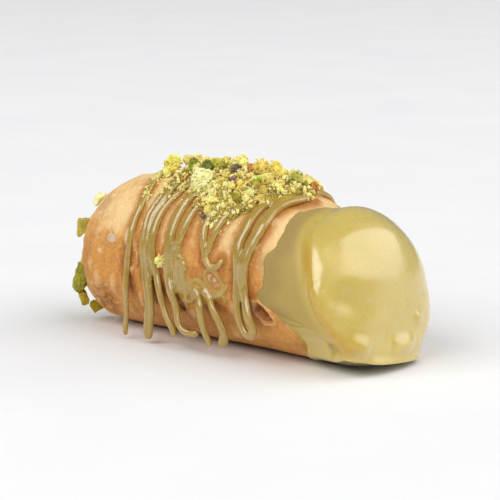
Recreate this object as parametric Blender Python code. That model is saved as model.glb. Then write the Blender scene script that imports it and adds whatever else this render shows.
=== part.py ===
"""A mini cannolo: a blistered fried shell filled with cream, its front end dipped in a
pistachio coating, with chopped nuts along its top and more of them over the rear cream.

It lies on the coating's flat foot and on its own underside. Lengths in this file are in
millimetres, and MM turns them into metres where a vertex is made. A station is a place
along the roll's axis, with the dipped end at +X. An angle goes round the axis, from the
top (0) by the -Y side (90) to the bottom (180) and on by the +Y side.
"""

import math

import bmesh
import bpy
from mathutils import Vector, noise

MM = 0.001

# The roll
AXIS_HEIGHT = 15.4
REAR_RIM = -36.0
SHELL_FRONT = 33.0
SIDE_RADIUS = 16.0
RIM_NARROWING = 1.6
RIM_TAPER = 7.0
TOP_SWELL = 4.0
SWELL_FRONT = 23.5
SWELL_REAR = 35.0
FLAT_UNDER = 0.5
WALL = 2.4
GAP = 0.35
DOUGH_WAVES = 0.35

# The coating
EDGE_STATION = 18.4
LOWER_EDGE_STEP = 5.6
EDGE_THICKNESS = 0.35
RECESS_DEPTH = 0.9
RECESS_UNDER = 0.6
RECESS_LEAD = 1.2
WAIST_RADIUS = 16.4
SHOULDER_RADIUS = 17.5
SHOULDER_STATION = 30.0
DOME_LENGTH = 12.4
DOME_POWER = 2.5
DOME_SAG = 2.2
FACE_SLOPE = 0.10
FOOT_STATION = 32.2
FOOT_LENGTH = 16.8
FOOT_WIDTH = 18.6
FOOT_THICKNESS = 0.8

# The cream
CREAM_DOME = 5.5
CREAM_REAR = -36.1

# The chopped nuts on top
BED_MIDDLE = 3.0
BED_FRONT = 14.6
BED_REAR = 19.5
BED_NEAR_ANGLE = math.radians(54)
BED_FAR_ANGLE = math.radians(46)
BED_EDGE = 0.7
BED_RISE = 1.6
BED_LUMPS = 1.5
NUT_GRAIN = 3.2

# The nuts over the rear cream
REAR_NUTS_RADIUS = 13.2
REAR_NUTS_DEPTH = 2.3
REAR_NUTS_LUMPS = 1.9

# Larger bubbles of the dough: station, angle in degrees, radius, height
BLISTERS = (
    (-25.2, 74, 2.4, 0.55),
    (-24.7, 115, 2.2, 0.9),
    (-17.0, 62, 3.2, 0.7),
    (-9.0, 88, 2.6, 0.5),
    (0.9, 95, 1.9, 0.5),
    (4.5, 88, 2.3, 0.6),
    (10.0, 112, 3.0, 0.7),
    (14.6, 107, 2.6, 0.9),
    (-31.0, 128, 3.0, 0.8),
    (-28.0, 25, 3.4, 0.6),
    (-30.0, 232, 3.0, 0.8),
    (-21.0, 262, 2.8, 0.7),
    (-12.5, 300, 2.4, 0.6),
    (-6.0, 246, 3.2, 0.9),
    (3.0, 284, 2.2, 0.6),
    (9.5, 252, 2.8, 0.8),
)

SIDES = 44
FOOT_SIDES = 40
BARE_RINGS = 19
COVERED_SHARES = (0.0, 0.14, 0.32, 0.55, 0.78, 1.0)
BORE_STATIONS = (REAR_RIM, -32.5, -29.0, -12.0, 6.0, 14.0, 18.0, 21.0, SWELL_FRONT, SHELL_FRONT)

COLOURS = {
    "shell": ((0.58, 0.33, 0.12), 0.55),
    "filling": ((0.86, 0.79, 0.64), 0.5),
    "dip": ((0.66, 0.54, 0.22), 0.3),
    "nut_topping": ((0.50, 0.42, 0.12), 0.7),
    "rear_nuts": ((0.30, 0.34, 0.07), 0.7),
}


def smooth_step(low, high, value):
    """0 below low, 1 above high and an S curve between them."""
    part = min(1.0, max(0.0, (value - low) / (high - low)))
    return part * part * (3.0 - 2.0 * part)


def point_at(station, angle, radius, sag=0.0):
    """The point at a station, an angle and a radius, never below the table."""
    height = AXIS_HEIGHT - sag + radius * math.cos(angle)
    return Vector((station, -radius * math.sin(angle), max(height, 0.0)))


def swell(station):
    """How far the roll's top stands above a round section."""
    if station >= 0.0:
        return TOP_SWELL * max(0.0, 1.0 - (station / SWELL_FRONT) ** 5)
    return TOP_SWELL * max(0.0, 1.0 - (-station / SWELL_REAR) ** 3)


def plain_radius(station, angle):
    """The roll's outside without waves or bubbles."""
    narrowing = RIM_NARROWING * min(1.0, max(0.0, (REAR_RIM + RIM_TAPER - station) / RIM_TAPER)) ** 2
    upward = max(0.0, math.cos(angle)) ** 1.5
    downward = max(0.0, -math.cos(angle)) ** 2
    return SIDE_RADIUS - narrowing + swell(station) * upward - FLAT_UNDER * downward


def blister_height(station, angle):
    """The height of the dough's larger bubbles at a place on the roll."""
    height = 0.0
    for centre, degrees, radius, rise in BLISTERS:
        turn = math.remainder(angle - math.radians(degrees), math.tau)
        reach = math.hypot(station - centre, turn * SIDE_RADIUS) / radius
        height += rise * max(0.0, 1.0 - reach * reach) ** 1.5
    return height


def dough_waves(station, angle):
    """The fried dough's unevenness, even all round its underside where it lies."""
    place = Vector((station * 0.11, 1.9 * math.sin(angle), 1.9 * math.cos(angle)))
    return DOUGH_WAVES * noise.noise(place) * smooth_step(-0.95, -0.7, math.cos(angle))


def coat_edge(angle):
    """The station where the coating starts: further forward on the underside."""
    lower = smooth_step(math.radians(97), math.radians(112), abs(math.remainder(angle, math.tau)))
    waves = 0.7 * math.sin(3.0 * angle + 0.4) + 0.4 * math.sin(7.0 * angle)
    return EDGE_STATION + LOWER_EDGE_STEP * lower + waves


def shell_radius(station, angle):
    """The dough's outside, which steps down by the coating's depth under the coating."""
    edge = coat_edge(angle)
    depth = RECESS_DEPTH + RECESS_UNDER * max(0.0, -math.cos(angle)) ** 2
    recess = depth * smooth_step(edge - RECESS_LEAD, edge + RECESS_LEAD / 2.0, station)
    bare = 1.0 - smooth_step(edge - 3.0 * RECESS_LEAD, edge - RECESS_LEAD, station)
    uneven = dough_waves(station, angle) + blister_height(station, angle)
    return plain_radius(station, angle) - recess + uneven * bare


def bore_radius(station, angle):
    return plain_radius(station, angle) - WALL


def superellipse(reach):
    """The radius of a round-nosed end, from 1 at its root (reach 0) to 0 at its tip (1)."""
    return max(0.0, 1.0 - reach ** DOME_POWER) ** (1.0 / DOME_POWER)


def dome_radius(station):
    """The coating's own round section, from its waist over its shoulder to its tip."""
    if station <= SHOULDER_STATION:
        rise = smooth_step(EDGE_STATION, SHOULDER_STATION, station)
        return WAIST_RADIUS + (SHOULDER_RADIUS - WAIST_RADIUS) * rise
    return SHOULDER_RADIUS * superellipse((station - SHOULDER_STATION) / DOME_LENGTH)


def coat_point(station, angle):
    """A point of the coating's outside: it sags and leans back towards its tip."""
    lean = smooth_step(SHOULDER_STATION - 5.0, SHOULDER_STATION + DOME_LENGTH, station)
    on_dough = plain_radius(station, angle) + EDGE_THICKNESS
    cover = 1.0 - smooth_step(EDGE_STATION + 2.0, SHELL_FRONT - 6.0, station)
    radius = dome_radius(station)
    if on_dough > radius:
        radius += (on_dough - radius) * cover
    place = point_at(station, angle, radius, DOME_SAG * lean)
    place.x -= FACE_SLOPE * lean * (place.z - AXIS_HEIGHT + DOME_SAG * lean)
    return place


def angles(count):
    return [math.tau * k / count for k in range(count)]


def spaced(first, last, count):
    return [first + (last - first) * k / (count - 1) for k in range(count)]


def loft(rings, joined=False):
    """A closed body through rings of points, where a ring of one point is a tip.

    With joined, the last ring meets the first, as on a tube with a bore.
    """
    body = bmesh.new()
    rows = [[body.verts.new(point * MM) for point in ring] for ring in rings]
    pairs = list(zip(rows, rows[1:]))
    if joined:
        pairs.append((rows[-1], rows[0]))
    for first, second in pairs:
        for k in range(max(len(first), len(second))):
            corners = (
                first[k % len(first)],
                first[(k + 1) % len(first)],
                second[(k + 1) % len(second)],
                second[k % len(second)],
            )
            body.faces.new(tuple(dict.fromkeys(corners)))
    return body


def make_object(name, body, collection):
    """A smooth-shaded object from a closed bmesh, its faces turned outward."""
    bmesh.ops.recalc_face_normals(body, faces=body.faces)
    if body.calc_volume(signed=True) < 0.0:
        bmesh.ops.reverse_faces(body, faces=body.faces)
    mesh = bpy.data.meshes.new(name)
    body.to_mesh(mesh)
    body.free()
    mesh.shade_smooth()
    item = bpy.data.objects.new(name, mesh)
    collection.objects.link(item)
    return item


def paint(item):
    colour, roughness = COLOURS[item.name]
    material = bpy.data.materials.new(item.name)
    material.use_nodes = True
    shader = material.node_tree.nodes["Principled BSDF"]
    shader.inputs["Base Color"].default_value = (*colour, 1.0)
    shader.inputs["Roughness"].default_value = roughness
    shader.inputs["Metallic"].default_value = 0.0
    item.data.materials.append(material)


def covered_ring(share, slack):
    """A ring round the shell under the coating, from the edge (0) to the shell's front (1).

    Slack grows it, for the lining of the coating that fits over the shell.
    """
    ring = []
    for angle in angles(SIDES):
        edge = coat_edge(angle)
        station = edge + (SHELL_FRONT - edge) * share
        radius = shell_radius(station, angle) + slack
        ring.append(point_at(station + slack * (share == 1.0), angle, radius))
    return ring


def make_shell(collection):
    """The fried dough tube: its outside, its front end, its bore and its rear rim."""
    around = angles(SIDES)
    outside = []
    for share in spaced(0.0, 1.0, BARE_RINGS):
        ring = []
        for angle in around:
            station = REAR_RIM + (coat_edge(angle) - RECESS_LEAD - REAR_RIM) * share
            ring.append(point_at(station, angle, shell_radius(station, angle)))
        outside.append(ring)
    outside += [covered_ring(share, 0.0) for share in COVERED_SHARES]
    bore = [
        [point_at(station, angle, bore_radius(station, angle)) for angle in around]
        for station in reversed(BORE_STATIONS)
    ]
    return make_object("shell", loft(outside + bore, joined=True), collection)


def cream_dome(reach, slack):
    """A ring of the cream's round front, grown by slack, from its root (0) to its tip (1)."""
    station = SHELL_FRONT + (CREAM_DOME + slack) * reach
    if reach == 1.0:
        return [point_at(station, 0.0, 0.0)]
    size = superellipse(reach)
    return [
        point_at(station, angle, (bore_radius(SHELL_FRONT, angle) - GAP + slack) * size)
        for angle in angles(SIDES)
    ]


def make_filling(collection):
    """The cream, from its uneven rear face through the bore to its round front."""
    around = angles(SIDES)
    face = [[point_at(CREAM_REAR + 0.4, 0.0, 0.0)]]
    for share in (0.35, 0.7, 0.92):
        ring = []
        for angle in around:
            radius = (bore_radius(REAR_RIM, angle) - GAP) * share
            place = point_at(CREAM_REAR, angle, radius)
            place.x += 0.5 * noise.noise(place * 0.3)
            ring.append(place)
        face.append(ring)
    body = [
        [point_at(station, angle, bore_radius(station, angle) - GAP) for angle in around]
        for station in BORE_STATIONS
    ]
    front = [cream_dome(reach, 0.0) for reach in (0.35, 0.65, 0.85, 0.96, 1.0)]
    return make_object("filling", loft(face + body + front), collection)


def sleeve_ring(share):
    """A ring of the coating's outside, from its uneven edge (0) to its shoulder (1)."""
    ring = []
    for angle in angles(SIDES):
        edge = coat_edge(angle)
        ring.append(coat_point(edge + (SHOULDER_STATION - edge) * share, angle))
    return ring


def make_foot_guide(guides):
    """The thin flat foot that set under the coating, as a guide that the coating joins."""
    foot = bmesh.new()
    bmesh.ops.create_cone(
        foot, cap_ends=True, segments=FOOT_SIDES, radius1=0.5, radius2=0.485, depth=1.0
    )
    size = Vector((FOOT_LENGTH, FOOT_WIDTH, FOOT_THICKNESS)) * MM
    middle = Vector((FOOT_STATION, 0.0, FOOT_THICKNESS / 2.0)) * MM
    bmesh.ops.scale(foot, vec=size, verts=foot.verts)
    bmesh.ops.translate(foot, vec=middle, verts=foot.verts)
    guide = make_object("foot_guide", foot, guides)
    guide.hide_render = True
    guide.display_type = "WIRE"
    return guide


def make_dip(collection, guides):
    """The coating: a cap whose skin runs from its tip back to its edge and in to its lining."""
    around = angles(SIDES)
    skin = [[coat_point(SHOULDER_STATION + DOME_LENGTH, 0.0)]]
    for reach in (0.98, 0.92, 0.83, 0.71, 0.57, 0.4, 0.2):
        station = SHOULDER_STATION + DOME_LENGTH * reach
        skin.append([coat_point(station, angle) for angle in around])
    skin += [sleeve_ring(share) for share in reversed(COVERED_SHARES)]
    lining = [covered_ring(share, GAP) for share in COVERED_SHARES]
    mouth = SHELL_FRONT + GAP
    lining.append([point_at(mouth, angle, bore_radius(SHELL_FRONT, angle)) for angle in around])
    lining += [cream_dome(reach, GAP) for reach in (0.45, 0.75, 0.93, 1.0)]
    cap = make_object("dip", loft(skin + lining), collection)
    union = cap.modifiers.new("foot", "BOOLEAN")
    union.operation = "UNION"
    union.object = make_foot_guide(guides)
    return cap


def bed_reach(station):
    """How far round the roll the chopped nuts go at a station, from 1 to 0 at the ends."""
    away = station - BED_MIDDLE
    half = BED_FRONT if away > 0.0 else BED_REAR
    return max(0.0, 1.0 - (abs(away) / half) ** 2.2)


def nut_relief(place):
    """Lumps as large as the chopped nuts, from 0 between them to 1 on top of them."""
    distances, _ = noise.voronoi(place / NUT_GRAIN)
    return max(0.0, 1.0 - 1.1 * distances[0])


def make_nut_topping(collection):
    """The heap of chopped nuts that lies along the top, out to its uneven outline."""
    columns, rows = 22, 18
    body = bmesh.new()
    bmesh.ops.create_grid(body, x_segments=columns, y_segments=rows, size=0.5)
    under = list(body.verts)
    raised = bmesh.ops.extrude_face_region(body, geom=list(body.faces), use_keep_orig=True)
    above = [item for item in raised["geom"] if isinstance(item, bmesh.types.BMVert)]
    low = BED_MIDDLE - BED_REAR * 0.97
    high = BED_MIDDLE + BED_FRONT * 0.97
    for verts, is_top in ((under, False), (above, True)):
        for vert in verts:
            along = vert.co.x + 0.5
            across = vert.co.y * 2.0
            station = low + (high - low) * along
            limit = BED_NEAR_ANGLE if across > 0.0 else BED_FAR_ANGLE
            angle = across * limit * bed_reach(station)
            angle += 0.06 * math.sin(station * 1.3) * abs(across)
            base = plain_radius(station, angle) + DOUGH_WAVES + GAP
            place = point_at(station, angle, base)
            if is_top:
                middle = (1.0 - across ** 4) * bed_reach(station) ** 0.5
                lumps = BED_LUMPS * nut_relief(place) * (0.25 + 0.75 * middle)
                place = point_at(station, angle, base + BED_EDGE + BED_RISE * middle + lumps)
            vert.co = place * MM
    return make_object("nut_topping", body, collection)


def make_rear_nuts(collection):
    """The rough layer of nuts pressed onto the rear cream, with a flat inner face."""
    around = angles(30)
    base = REAR_RIM - GAP

    def ring(share, depth):
        points = []
        for angle in around:
            radius = REAR_NUTS_RADIUS * share
            place = point_at(base, angle, radius * (1.0 + 0.05 * math.sin(5.0 * angle)))
            lumps = REAR_NUTS_LUMPS * nut_relief(place + Vector((7.0, 3.0, 0.0))) * min(depth, 1.0)
            place.x -= REAR_NUTS_DEPTH * depth + lumps
            points.append(place)
        return points

    layer = [[point_at(base, 0.0, 0.0)], ring(0.6, 0.0), ring(0.97, 0.0)]
    layer += [ring(share, 1.0) for share in (0.98, 0.84, 0.68, 0.5, 0.32, 0.16)]
    layer += [[point_at(base - REAR_NUTS_DEPTH - 0.8, 0.0, 0.0)]]
    return make_object("rear_nuts", loft(layer), collection)


def stand_on_origin(items):
    """Parents the parts to an empty placed so that their box stands on the origin."""
    depsgraph = bpy.context.evaluated_depsgraph_get()
    corners = []
    for item in items:
        mesh = item.evaluated_get(depsgraph).data
        corners += [vert.co.copy() for vert in mesh.vertices]
    carrier = bpy.data.objects.new("cannolo", None)
    bpy.context.scene.collection.objects.link(carrier)
    for axis in (0, 1):
        values = [corner[axis] for corner in corners]
        carrier.location[axis] = -(min(values) + max(values)) / 2.0
    carrier.location[2] = -min(corner[2] for corner in corners)
    for item in items:
        item.parent = carrier


def main():
    for item in list(bpy.data.objects):
        bpy.data.objects.remove(item)
    parts = bpy.data.collections.new("cannolo")
    guides = bpy.data.collections.new("guides")
    bpy.context.scene.collection.children.link(parts)
    bpy.context.scene.collection.children.link(guides)
    items = [
        make_shell(parts),
        make_filling(parts),
        make_dip(parts, guides),
        make_nut_topping(parts),
        make_rear_nuts(parts),
    ]
    for item in items:
        paint(item)
    stand_on_origin(items)


main()
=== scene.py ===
"""Looks of the mini cannolo: dough, cream, pistachio coating, drizzle and chopped nuts.

Shapes are worked out in millimetres as numpy arrays and turned into metres where a mesh is
made. A station is a place along the roll's axis, with the dipped end at +X. An angle goes
round the axis from the top (0) by the -Y side (90 degrees) to the bottom (180), and the +Y
side has negative angles.
"""

import math

import bmesh
import bpy
import numpy as np
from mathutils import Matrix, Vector
from mathutils.kdtree import KDTree


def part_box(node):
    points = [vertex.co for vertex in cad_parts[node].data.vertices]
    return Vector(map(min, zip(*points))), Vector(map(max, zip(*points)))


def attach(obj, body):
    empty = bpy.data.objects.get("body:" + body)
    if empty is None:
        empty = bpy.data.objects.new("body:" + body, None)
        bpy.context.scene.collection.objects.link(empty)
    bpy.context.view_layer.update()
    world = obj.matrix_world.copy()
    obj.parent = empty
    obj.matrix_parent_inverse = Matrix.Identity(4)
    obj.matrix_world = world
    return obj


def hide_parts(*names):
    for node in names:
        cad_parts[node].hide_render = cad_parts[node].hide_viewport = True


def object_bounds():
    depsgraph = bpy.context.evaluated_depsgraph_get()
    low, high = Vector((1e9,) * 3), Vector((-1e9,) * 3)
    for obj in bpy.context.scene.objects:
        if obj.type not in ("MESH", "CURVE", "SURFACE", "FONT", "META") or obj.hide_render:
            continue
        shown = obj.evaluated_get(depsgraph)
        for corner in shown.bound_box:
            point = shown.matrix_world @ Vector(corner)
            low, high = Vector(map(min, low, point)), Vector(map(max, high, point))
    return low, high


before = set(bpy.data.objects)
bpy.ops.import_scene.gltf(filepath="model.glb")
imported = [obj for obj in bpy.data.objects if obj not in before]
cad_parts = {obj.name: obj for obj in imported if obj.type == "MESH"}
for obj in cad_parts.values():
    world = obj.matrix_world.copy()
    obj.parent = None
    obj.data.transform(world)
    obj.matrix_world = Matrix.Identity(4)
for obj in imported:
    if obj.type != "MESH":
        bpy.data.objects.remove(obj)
cad_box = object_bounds()

MM = 0.001

# The roll and its coating, as in the CAD model
AXIS_HEIGHT = 15.4
REAR_RIM = -36
SHELL_FRONT = 33
SIDE_RADIUS = 16
RIM_NARROWING = 1.6
RIM_TAPER = 7
TOP_SWELL = 4
SWELL_FRONT = 20.6
SWELL_REAR = 35
FLAT_UNDER = 0.5
WALL = 2.4
SHOULDER_RADIUS = 17.5
SHOULDER_STATION = 30
DOME_LENGTH = 11.8
DOME_POWER = 2.5
DOME_SAG = 1.7
FACE_SLOPE = 0.03
FOOT_STATION = 29.5
FOOT_HALF_LENGTH = 13
FOOT_HALF_WIDTH = 11.2
FOOT_FLARE = 0.12
LIP_HEIGHT = 2
LIP_TILT = 0.13

shell_low, shell_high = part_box("shell")
dip_low, dip_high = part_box("dip")
ORIGIN = np.array([
    shell_low.x / MM - REAR_RIM,
    (dip_low.y + dip_high.y) / 2 / MM,
    dip_low.z / MM,
])


# ---------------------------------------------------------------- numbers and noise

def clamped(value):
    """A value kept between 0 and 1."""
    return np.clip(value, 0, 1)


def smooth_step(low, high, value):
    """Rises smoothly from 0 at low to 1 at high, or falls if low is the larger."""
    part = clamped((value - low) / (high - low))
    return part * part * (3 - 2 * part)


def unit(vectors):
    """The vectors at a length of 1."""
    return vectors / np.linalg.norm(vectors, axis=-1, keepdims=True)


def outward_at(angle):
    """The roll's outward direction at angles."""
    return np.stack([0 * angle, -np.sin(angle), np.cos(angle)], axis=-1)


def ring_angles(count):
    return np.linspace(-math.pi, math.pi, count, endpoint=False)


def bell(value, middle, width):
    """1 at the middle, falling smoothly to 0 about two widths away."""
    return np.exp(-(((value - middle) / width) ** 2))


def turn(angle):
    """An angle brought to between -pi and pi."""
    return (angle + math.pi) % math.tau - math.pi


def lattice(cell, seed):
    """A repeatable value from 0 to 1 for each row of whole numbers."""
    mixed = cell[..., 0] * 73856093 ^ cell[..., 1] * 19349663 ^ cell[..., 2] * 83492791
    mixed = (mixed ^ (seed * 668265263)) & 0x7FFFFFFF
    mixed = ((mixed ^ (mixed >> 15)) * 739982445) & 0x7FFFFFFF
    mixed = ((mixed ^ (mixed >> 12)) * 695872825) & 0x7FFFFFFF
    mixed = mixed ^ (mixed >> 15)
    return (mixed & 0xFFFFFF) / float(0xFFFFFF)


def noise(points, size, seed):
    """Smooth noise from -1 to 1 whose lumps are about size across."""
    scaled = points / size
    cell = np.floor(scaled).astype(np.int64)
    part = scaled - cell
    part = part * part * part * (part * (part * 6 - 15) + 10)
    total = np.zeros(points.shape[:-1])
    for corner in np.ndindex(2, 2, 2):
        weight = np.ones(points.shape[:-1])
        for axis in range(3):
            share = part[..., axis]
            weight = weight * (share if corner[axis] else 1 - share)
        total += weight * lattice(cell + np.array(corner), seed)
    return total * 2 - 1


def line_gap(points, start, end):
    """Distance from points to the line between two places, and how far along it they lie."""
    line = end - start
    share = clamped((points - start) @ line / (line @ line))
    return np.linalg.norm(points - start - share[..., None] * line, axis=-1), share


def waves(points, layers):
    """Several layers of noise on each other, each given by its height, size and seed."""
    total = 0
    for height, size, seed in layers:
        total = total + height * noise(points, size, seed)
    return total


def bubbles(points, size, low, high, chance, seed):
    """Round bubbles scattered in space: their height as a share of each one's radius."""
    scaled = points / size
    cell = np.floor(scaled).astype(np.int64)
    height = np.zeros(points.shape[:-1])
    for offset in np.ndindex(3, 3, 3):
        near = cell + np.array(offset) - 1
        centre = near + np.stack([lattice(near, seed + k) for k in range(3)], axis=-1)
        radius = low + (high - low) * lattice(near, seed + 3)
        gap = np.linalg.norm(points - centre * size, axis=-1) / radius
        there = lattice(near, seed + 4) < chance
        rise = np.where(there, radius * clamped(1 - gap * gap), 0)
        height = np.maximum(height, rise)
    return height


# ---------------------------------------------------------------- the roll's surfaces

def swell(station):
    rear = 1 - (np.clip(-station, 0, None) / SWELL_REAR) ** 3
    front = 1 - (np.clip(station, 0, None) / SWELL_FRONT) ** 3.6
    return TOP_SWELL * clamped(np.minimum(rear, front))


def plain_radius(station, angle):
    """The roll's outside without waves, bubbles or wrinkles."""
    narrowing = RIM_NARROWING * clamped((REAR_RIM + RIM_TAPER - station) / RIM_TAPER) ** 2
    upward = clamped(np.cos(angle)) ** 1.5
    downward = clamped(-np.cos(angle)) ** 2
    return SIDE_RADIUS - narrowing + swell(station) * upward - FLAT_UNDER * downward


def place(station, angle, radius, sag=0):
    """Points at stations, angles and radii, never below the table."""
    height = AXIS_HEIGHT - sag + radius * np.cos(angle)
    across = -radius * np.sin(angle)
    station = np.broadcast_to(station, height.shape)
    return np.stack([station, across, np.maximum(height, 0)], axis=-1)


# Bubbles of the fried dough: station, degrees, length, width, height, and for some how far it
# is popped and how far its length turns round the roll in degrees
BLISTERS = (
    (-30.1, 36, 0.6, 0.6, 0.3), (-29.6, 54, 0.6, 0.6, 0.35), (-32.1, 50, 0.5, 0.5, 0.25),
    (-25.8, 45, 1, 0.7, 0.25), (-22.8, 50, 0.5, 0.6, 0.3), (-25.3, 34, 0.5, 0.5, 0.25),
    (-25, 69.5, 2.1, 2.1, 0.6, 1, 0), (-24.2, 104, 1.3, 2.3, 0.9), (-29.2, 104, 1.5, 2.4, 0.6),
    (-28.5, 80, 0.8, 0.8, 0.35), (-31.5, 92, 1, 1.8, 0.45), (-21.8, 124, 1.2, 3, 0.8),
    (-16.8, 116, 0.9, 2.6, 0.7), (-20.8, 66, 0.8, 2.2, 0.15), (5.4, 87, 2.7, 1.3, 0.45, 1, 48),
    (10.2, 108, 1.4, 2.2, 0.3, 0, 10), (12.8, 130, 2.6, 2.2, 0.4), (-30, -128, 3, 2.4, 0.6),
    (-22, -98, 2.2, 1.7, 0.5, 1, 30), (-24.5, -52, 2, 1.6, 0.35),
    (-13, -72, 1.4, 2, 0.35), (-7, -112, 2.4, 1.8, 0.45, 0.6, -25),
    (2.5, -84, 1.4, 2, 0.4, 1, 0), (9.5, -106, 2, 1.6, 0.45),
)
# Other marks of the dough: station and degrees, with their sizes along and round the roll
FLAKY_PATCHES = ((-29.5, 122), (-9, -140))
PATCH_SIZE = (5, 5.5)
FOLD = (-17.7, 79)
DARK_HOLLOW = (-5.4, 113)
HOLLOW_SIZE = (1.5, 3.2)
SEAM_DEGREES = -148
TORN_BUBBLE = (18.8, 106)
TORN_SIZE = (2.7, 1.8)
TORN_SLANT = 0.45
# Waves and grain of its skin, and waves of its colour: height, size and seed
WAVES = ((0.40, 11, 1), (0.20, 4.5, 2))
GRAIN = ((0.12, 2.1, 3), (0.07, 1, 4), (0.03, 0.5, 5))
TONES = ((0.16, 8, 8), (0.10, 2.5, 9), (0.12, 0.9, 10))


def around(station, angle, centre, degrees):
    """How far a place lies from a centre, along and round the roll."""
    return station - centre, turn(angle - math.radians(degrees)) * SIDE_RADIUS


def oval(along, across, size):
    """Distance from an oval's centre, 1 at its outline."""
    return np.hypot(along / size[0], across / size[1])


def dough(station, angle):
    """The fried surface: its points and its marks (tone, pale and brown shares)."""
    radius = plain_radius(station, angle)
    base = place(station, angle, radius)
    lying = smooth_step(-0.97, -0.75, np.cos(angle))
    relief = waves(base, WAVES)
    relief += waves(base, GRAIN)
    relief += 0.08 * noise(base * np.array([1, 0.35, 0.35]), 1.4, 6)
    patchy = smooth_step(-0.25, 0.45, noise(base, 9, 17))
    wide = 0.18 * bubbles(base, 4.2, 0.6, 1.6, 0.35, 20)
    pimples = 0.55 * bubbles(base, 1.5, 0.12, 0.34, 0.4, 30) * patchy
    relief += wide + pimples
    tone = waves(base, TONES)
    # Paler towards the top, and lighter again low down: painted light for the light that reaches
    # the underside
    tone += 0.55 * smooth_step(0, 0.75, np.cos(angle)) - 0.09
    tone += 0.15 * smooth_step(-0.1, -0.6, np.cos(angle))
    pale = np.clip(wide * 2.2, 0, 0.35) + np.clip(pimples * 5, 0, 0.7)
    brown = clamped(noise(base, 5.5, 12) * 1.3 - 0.35) * 0.5

    for centre, degrees, length, width, height, *torn in BLISTERS:
        popped, turned = torn or (0, 0)
        along, across = around(station, angle, centre, degrees)
        cosine, sine = math.cos(math.radians(turned)), math.sin(math.radians(turned))
        long_way = along * cosine + across * sine
        wide_way = across * cosine - along * sine
        reach = oval(long_way, wide_way, (length, width))
        reach = reach * (1 + 0.16 * noise(base, 1.3, 15) + 0.07 * noise(base, 0.6, 16))
        dome = clamped(1 - reach ** 2) ** 0.8
        crater = bell(reach, 0.72, 0.22) - 0.7 * smooth_step(0.75, 0.25, reach)
        relief += height * ((1 - popped) * dome + popped * crater * (reach < 2))
        floor = popped * smooth_step(0.66, 0.45, reach)
        lower = smooth_step(0, 0.4, across / width + 0.3 * noise(base, 0.8, 18))
        pale = np.maximum(pale * (1 - floor), floor * (1 - 0.8 * lower))
        pale = np.maximum(pale, (1 - popped) * (0.4 + 0.4 * (length < 0.9)) * dome)
        brown = np.maximum(brown * (1 - floor), 0.5 * popped * bell(reach, 0.62, 0.13))
        brown = np.maximum(brown, 0.6 * floor * lower)

    # A flaky, redder patch low on the rear of the near side, and one like it on the far side
    for centre, degrees in FLAKY_PATCHES:
        along, across = around(station, angle, centre, degrees)
        patch = smooth_step(1.2, 0.4, oval(along, across, PATCH_SIZE))
        flakes = np.abs(noise(base, 1.3, 40)) + 0.5 * np.abs(noise(base, 0.6, 41))
        relief += patch * (0.9 * flakes - 0.35)
        brown = np.maximum(brown, patch * (0.75 - 0.5 * flakes))

    # A wrinkled fold in the dough between the first two strands of drizzle
    along, across = around(station, angle, FOLD[0] + 0.9 * noise(base, 3, 43), FOLD[1])
    length = smooth_step(5, 2, np.abs(across))
    fold = bell(along, 0, 0.5) * length
    crease = bell(along, 0.9, 0.4) * length
    ragged = clamped(0.4 + 1.2 * noise(base, 1.1, 44))
    relief += 0.8 * fold * ragged - 0.7 * crease * (1 - ragged)
    pale = np.maximum(pale, 0.75 * fold * ragged)
    brown = np.maximum(brown, 0.9 * crease * (1 - ragged))

    # A dark ragged hollow below the web of drizzle
    along, across = around(station, angle, *DARK_HOLLOW)
    reach = oval(along, across, HOLLOW_SIZE) * (1 + 0.35 * noise(base, 1.1, 54))
    hollow = smooth_step(1, 0.5, reach)
    relief -= 0.6 * hollow
    brown = np.maximum(brown, hollow * clamped(0.7 + noise(base, 0.7, 55)))

    # The seam where the dough's ends overlap, underneath on the far side
    along, across = around(station, angle, 0, SEAM_DEGREES)
    across = across + 0.8 * np.sin(station * 0.23) + 0.5 * noise(base, 5, 47)
    relief += 0.7 * smooth_step(-0.5, 0.3, across) * smooth_step(7, 0.5, across)
    brown = np.maximum(brown, 0.6 * bell(across, -0.4, 0.5))

    # The torn bubble at the coating's edge: a crusty raised rim around a brown hollow, partly
    # fried brown and partly painted shade, darkest between its cells
    along, across = around(station, angle, *TORN_BUBBLE)
    reach = oval(along, across - TORN_SLANT * along, TORN_SIZE)
    reach = reach * (1 + 0.25 * noise(base, 1.1, 50))
    relief += 0.5 * bell(reach, 1.05, 0.22) * (1 + 0.5 * noise(base, 0.8, 51))
    honeycomb = bubbles(base, 1.1, 0.3, 0.5, 0.9, 53)
    relief -= (1.1 - 1.5 * honeycomb) * smooth_step(0.95, 0.7, reach)
    hollow = smooth_step(0.95, 0.78, reach)
    brown = np.maximum(brown * (1 - hollow), hollow * np.clip(0.8 - 1.2 * honeycomb, 0.35, 0.8))
    pale = np.maximum(pale * (1 - hollow), 0.4 * bell(reach, 1.08, 0.15))

    points = place(station, angle, radius + relief * (0.15 + 0.85 * lying))
    marks = np.stack([clamped(0.5 + tone), pale, brown], axis=-1)
    return points, marks


def knotted(angle, knots, blur):
    """A smooth curve near (degrees, value) knots that goes once round the roll."""
    degrees = np.array([knot[0] for knot in knots], float)
    values = np.array([knot[1] for knot in knots], float)
    total = 0
    for step in (-2, -1, 0, 1, 2):
        here = np.degrees(turn(angle + math.radians(step * blur)))
        total = total + np.interp(here, degrees, values, period=360)
    return total / 5


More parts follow.
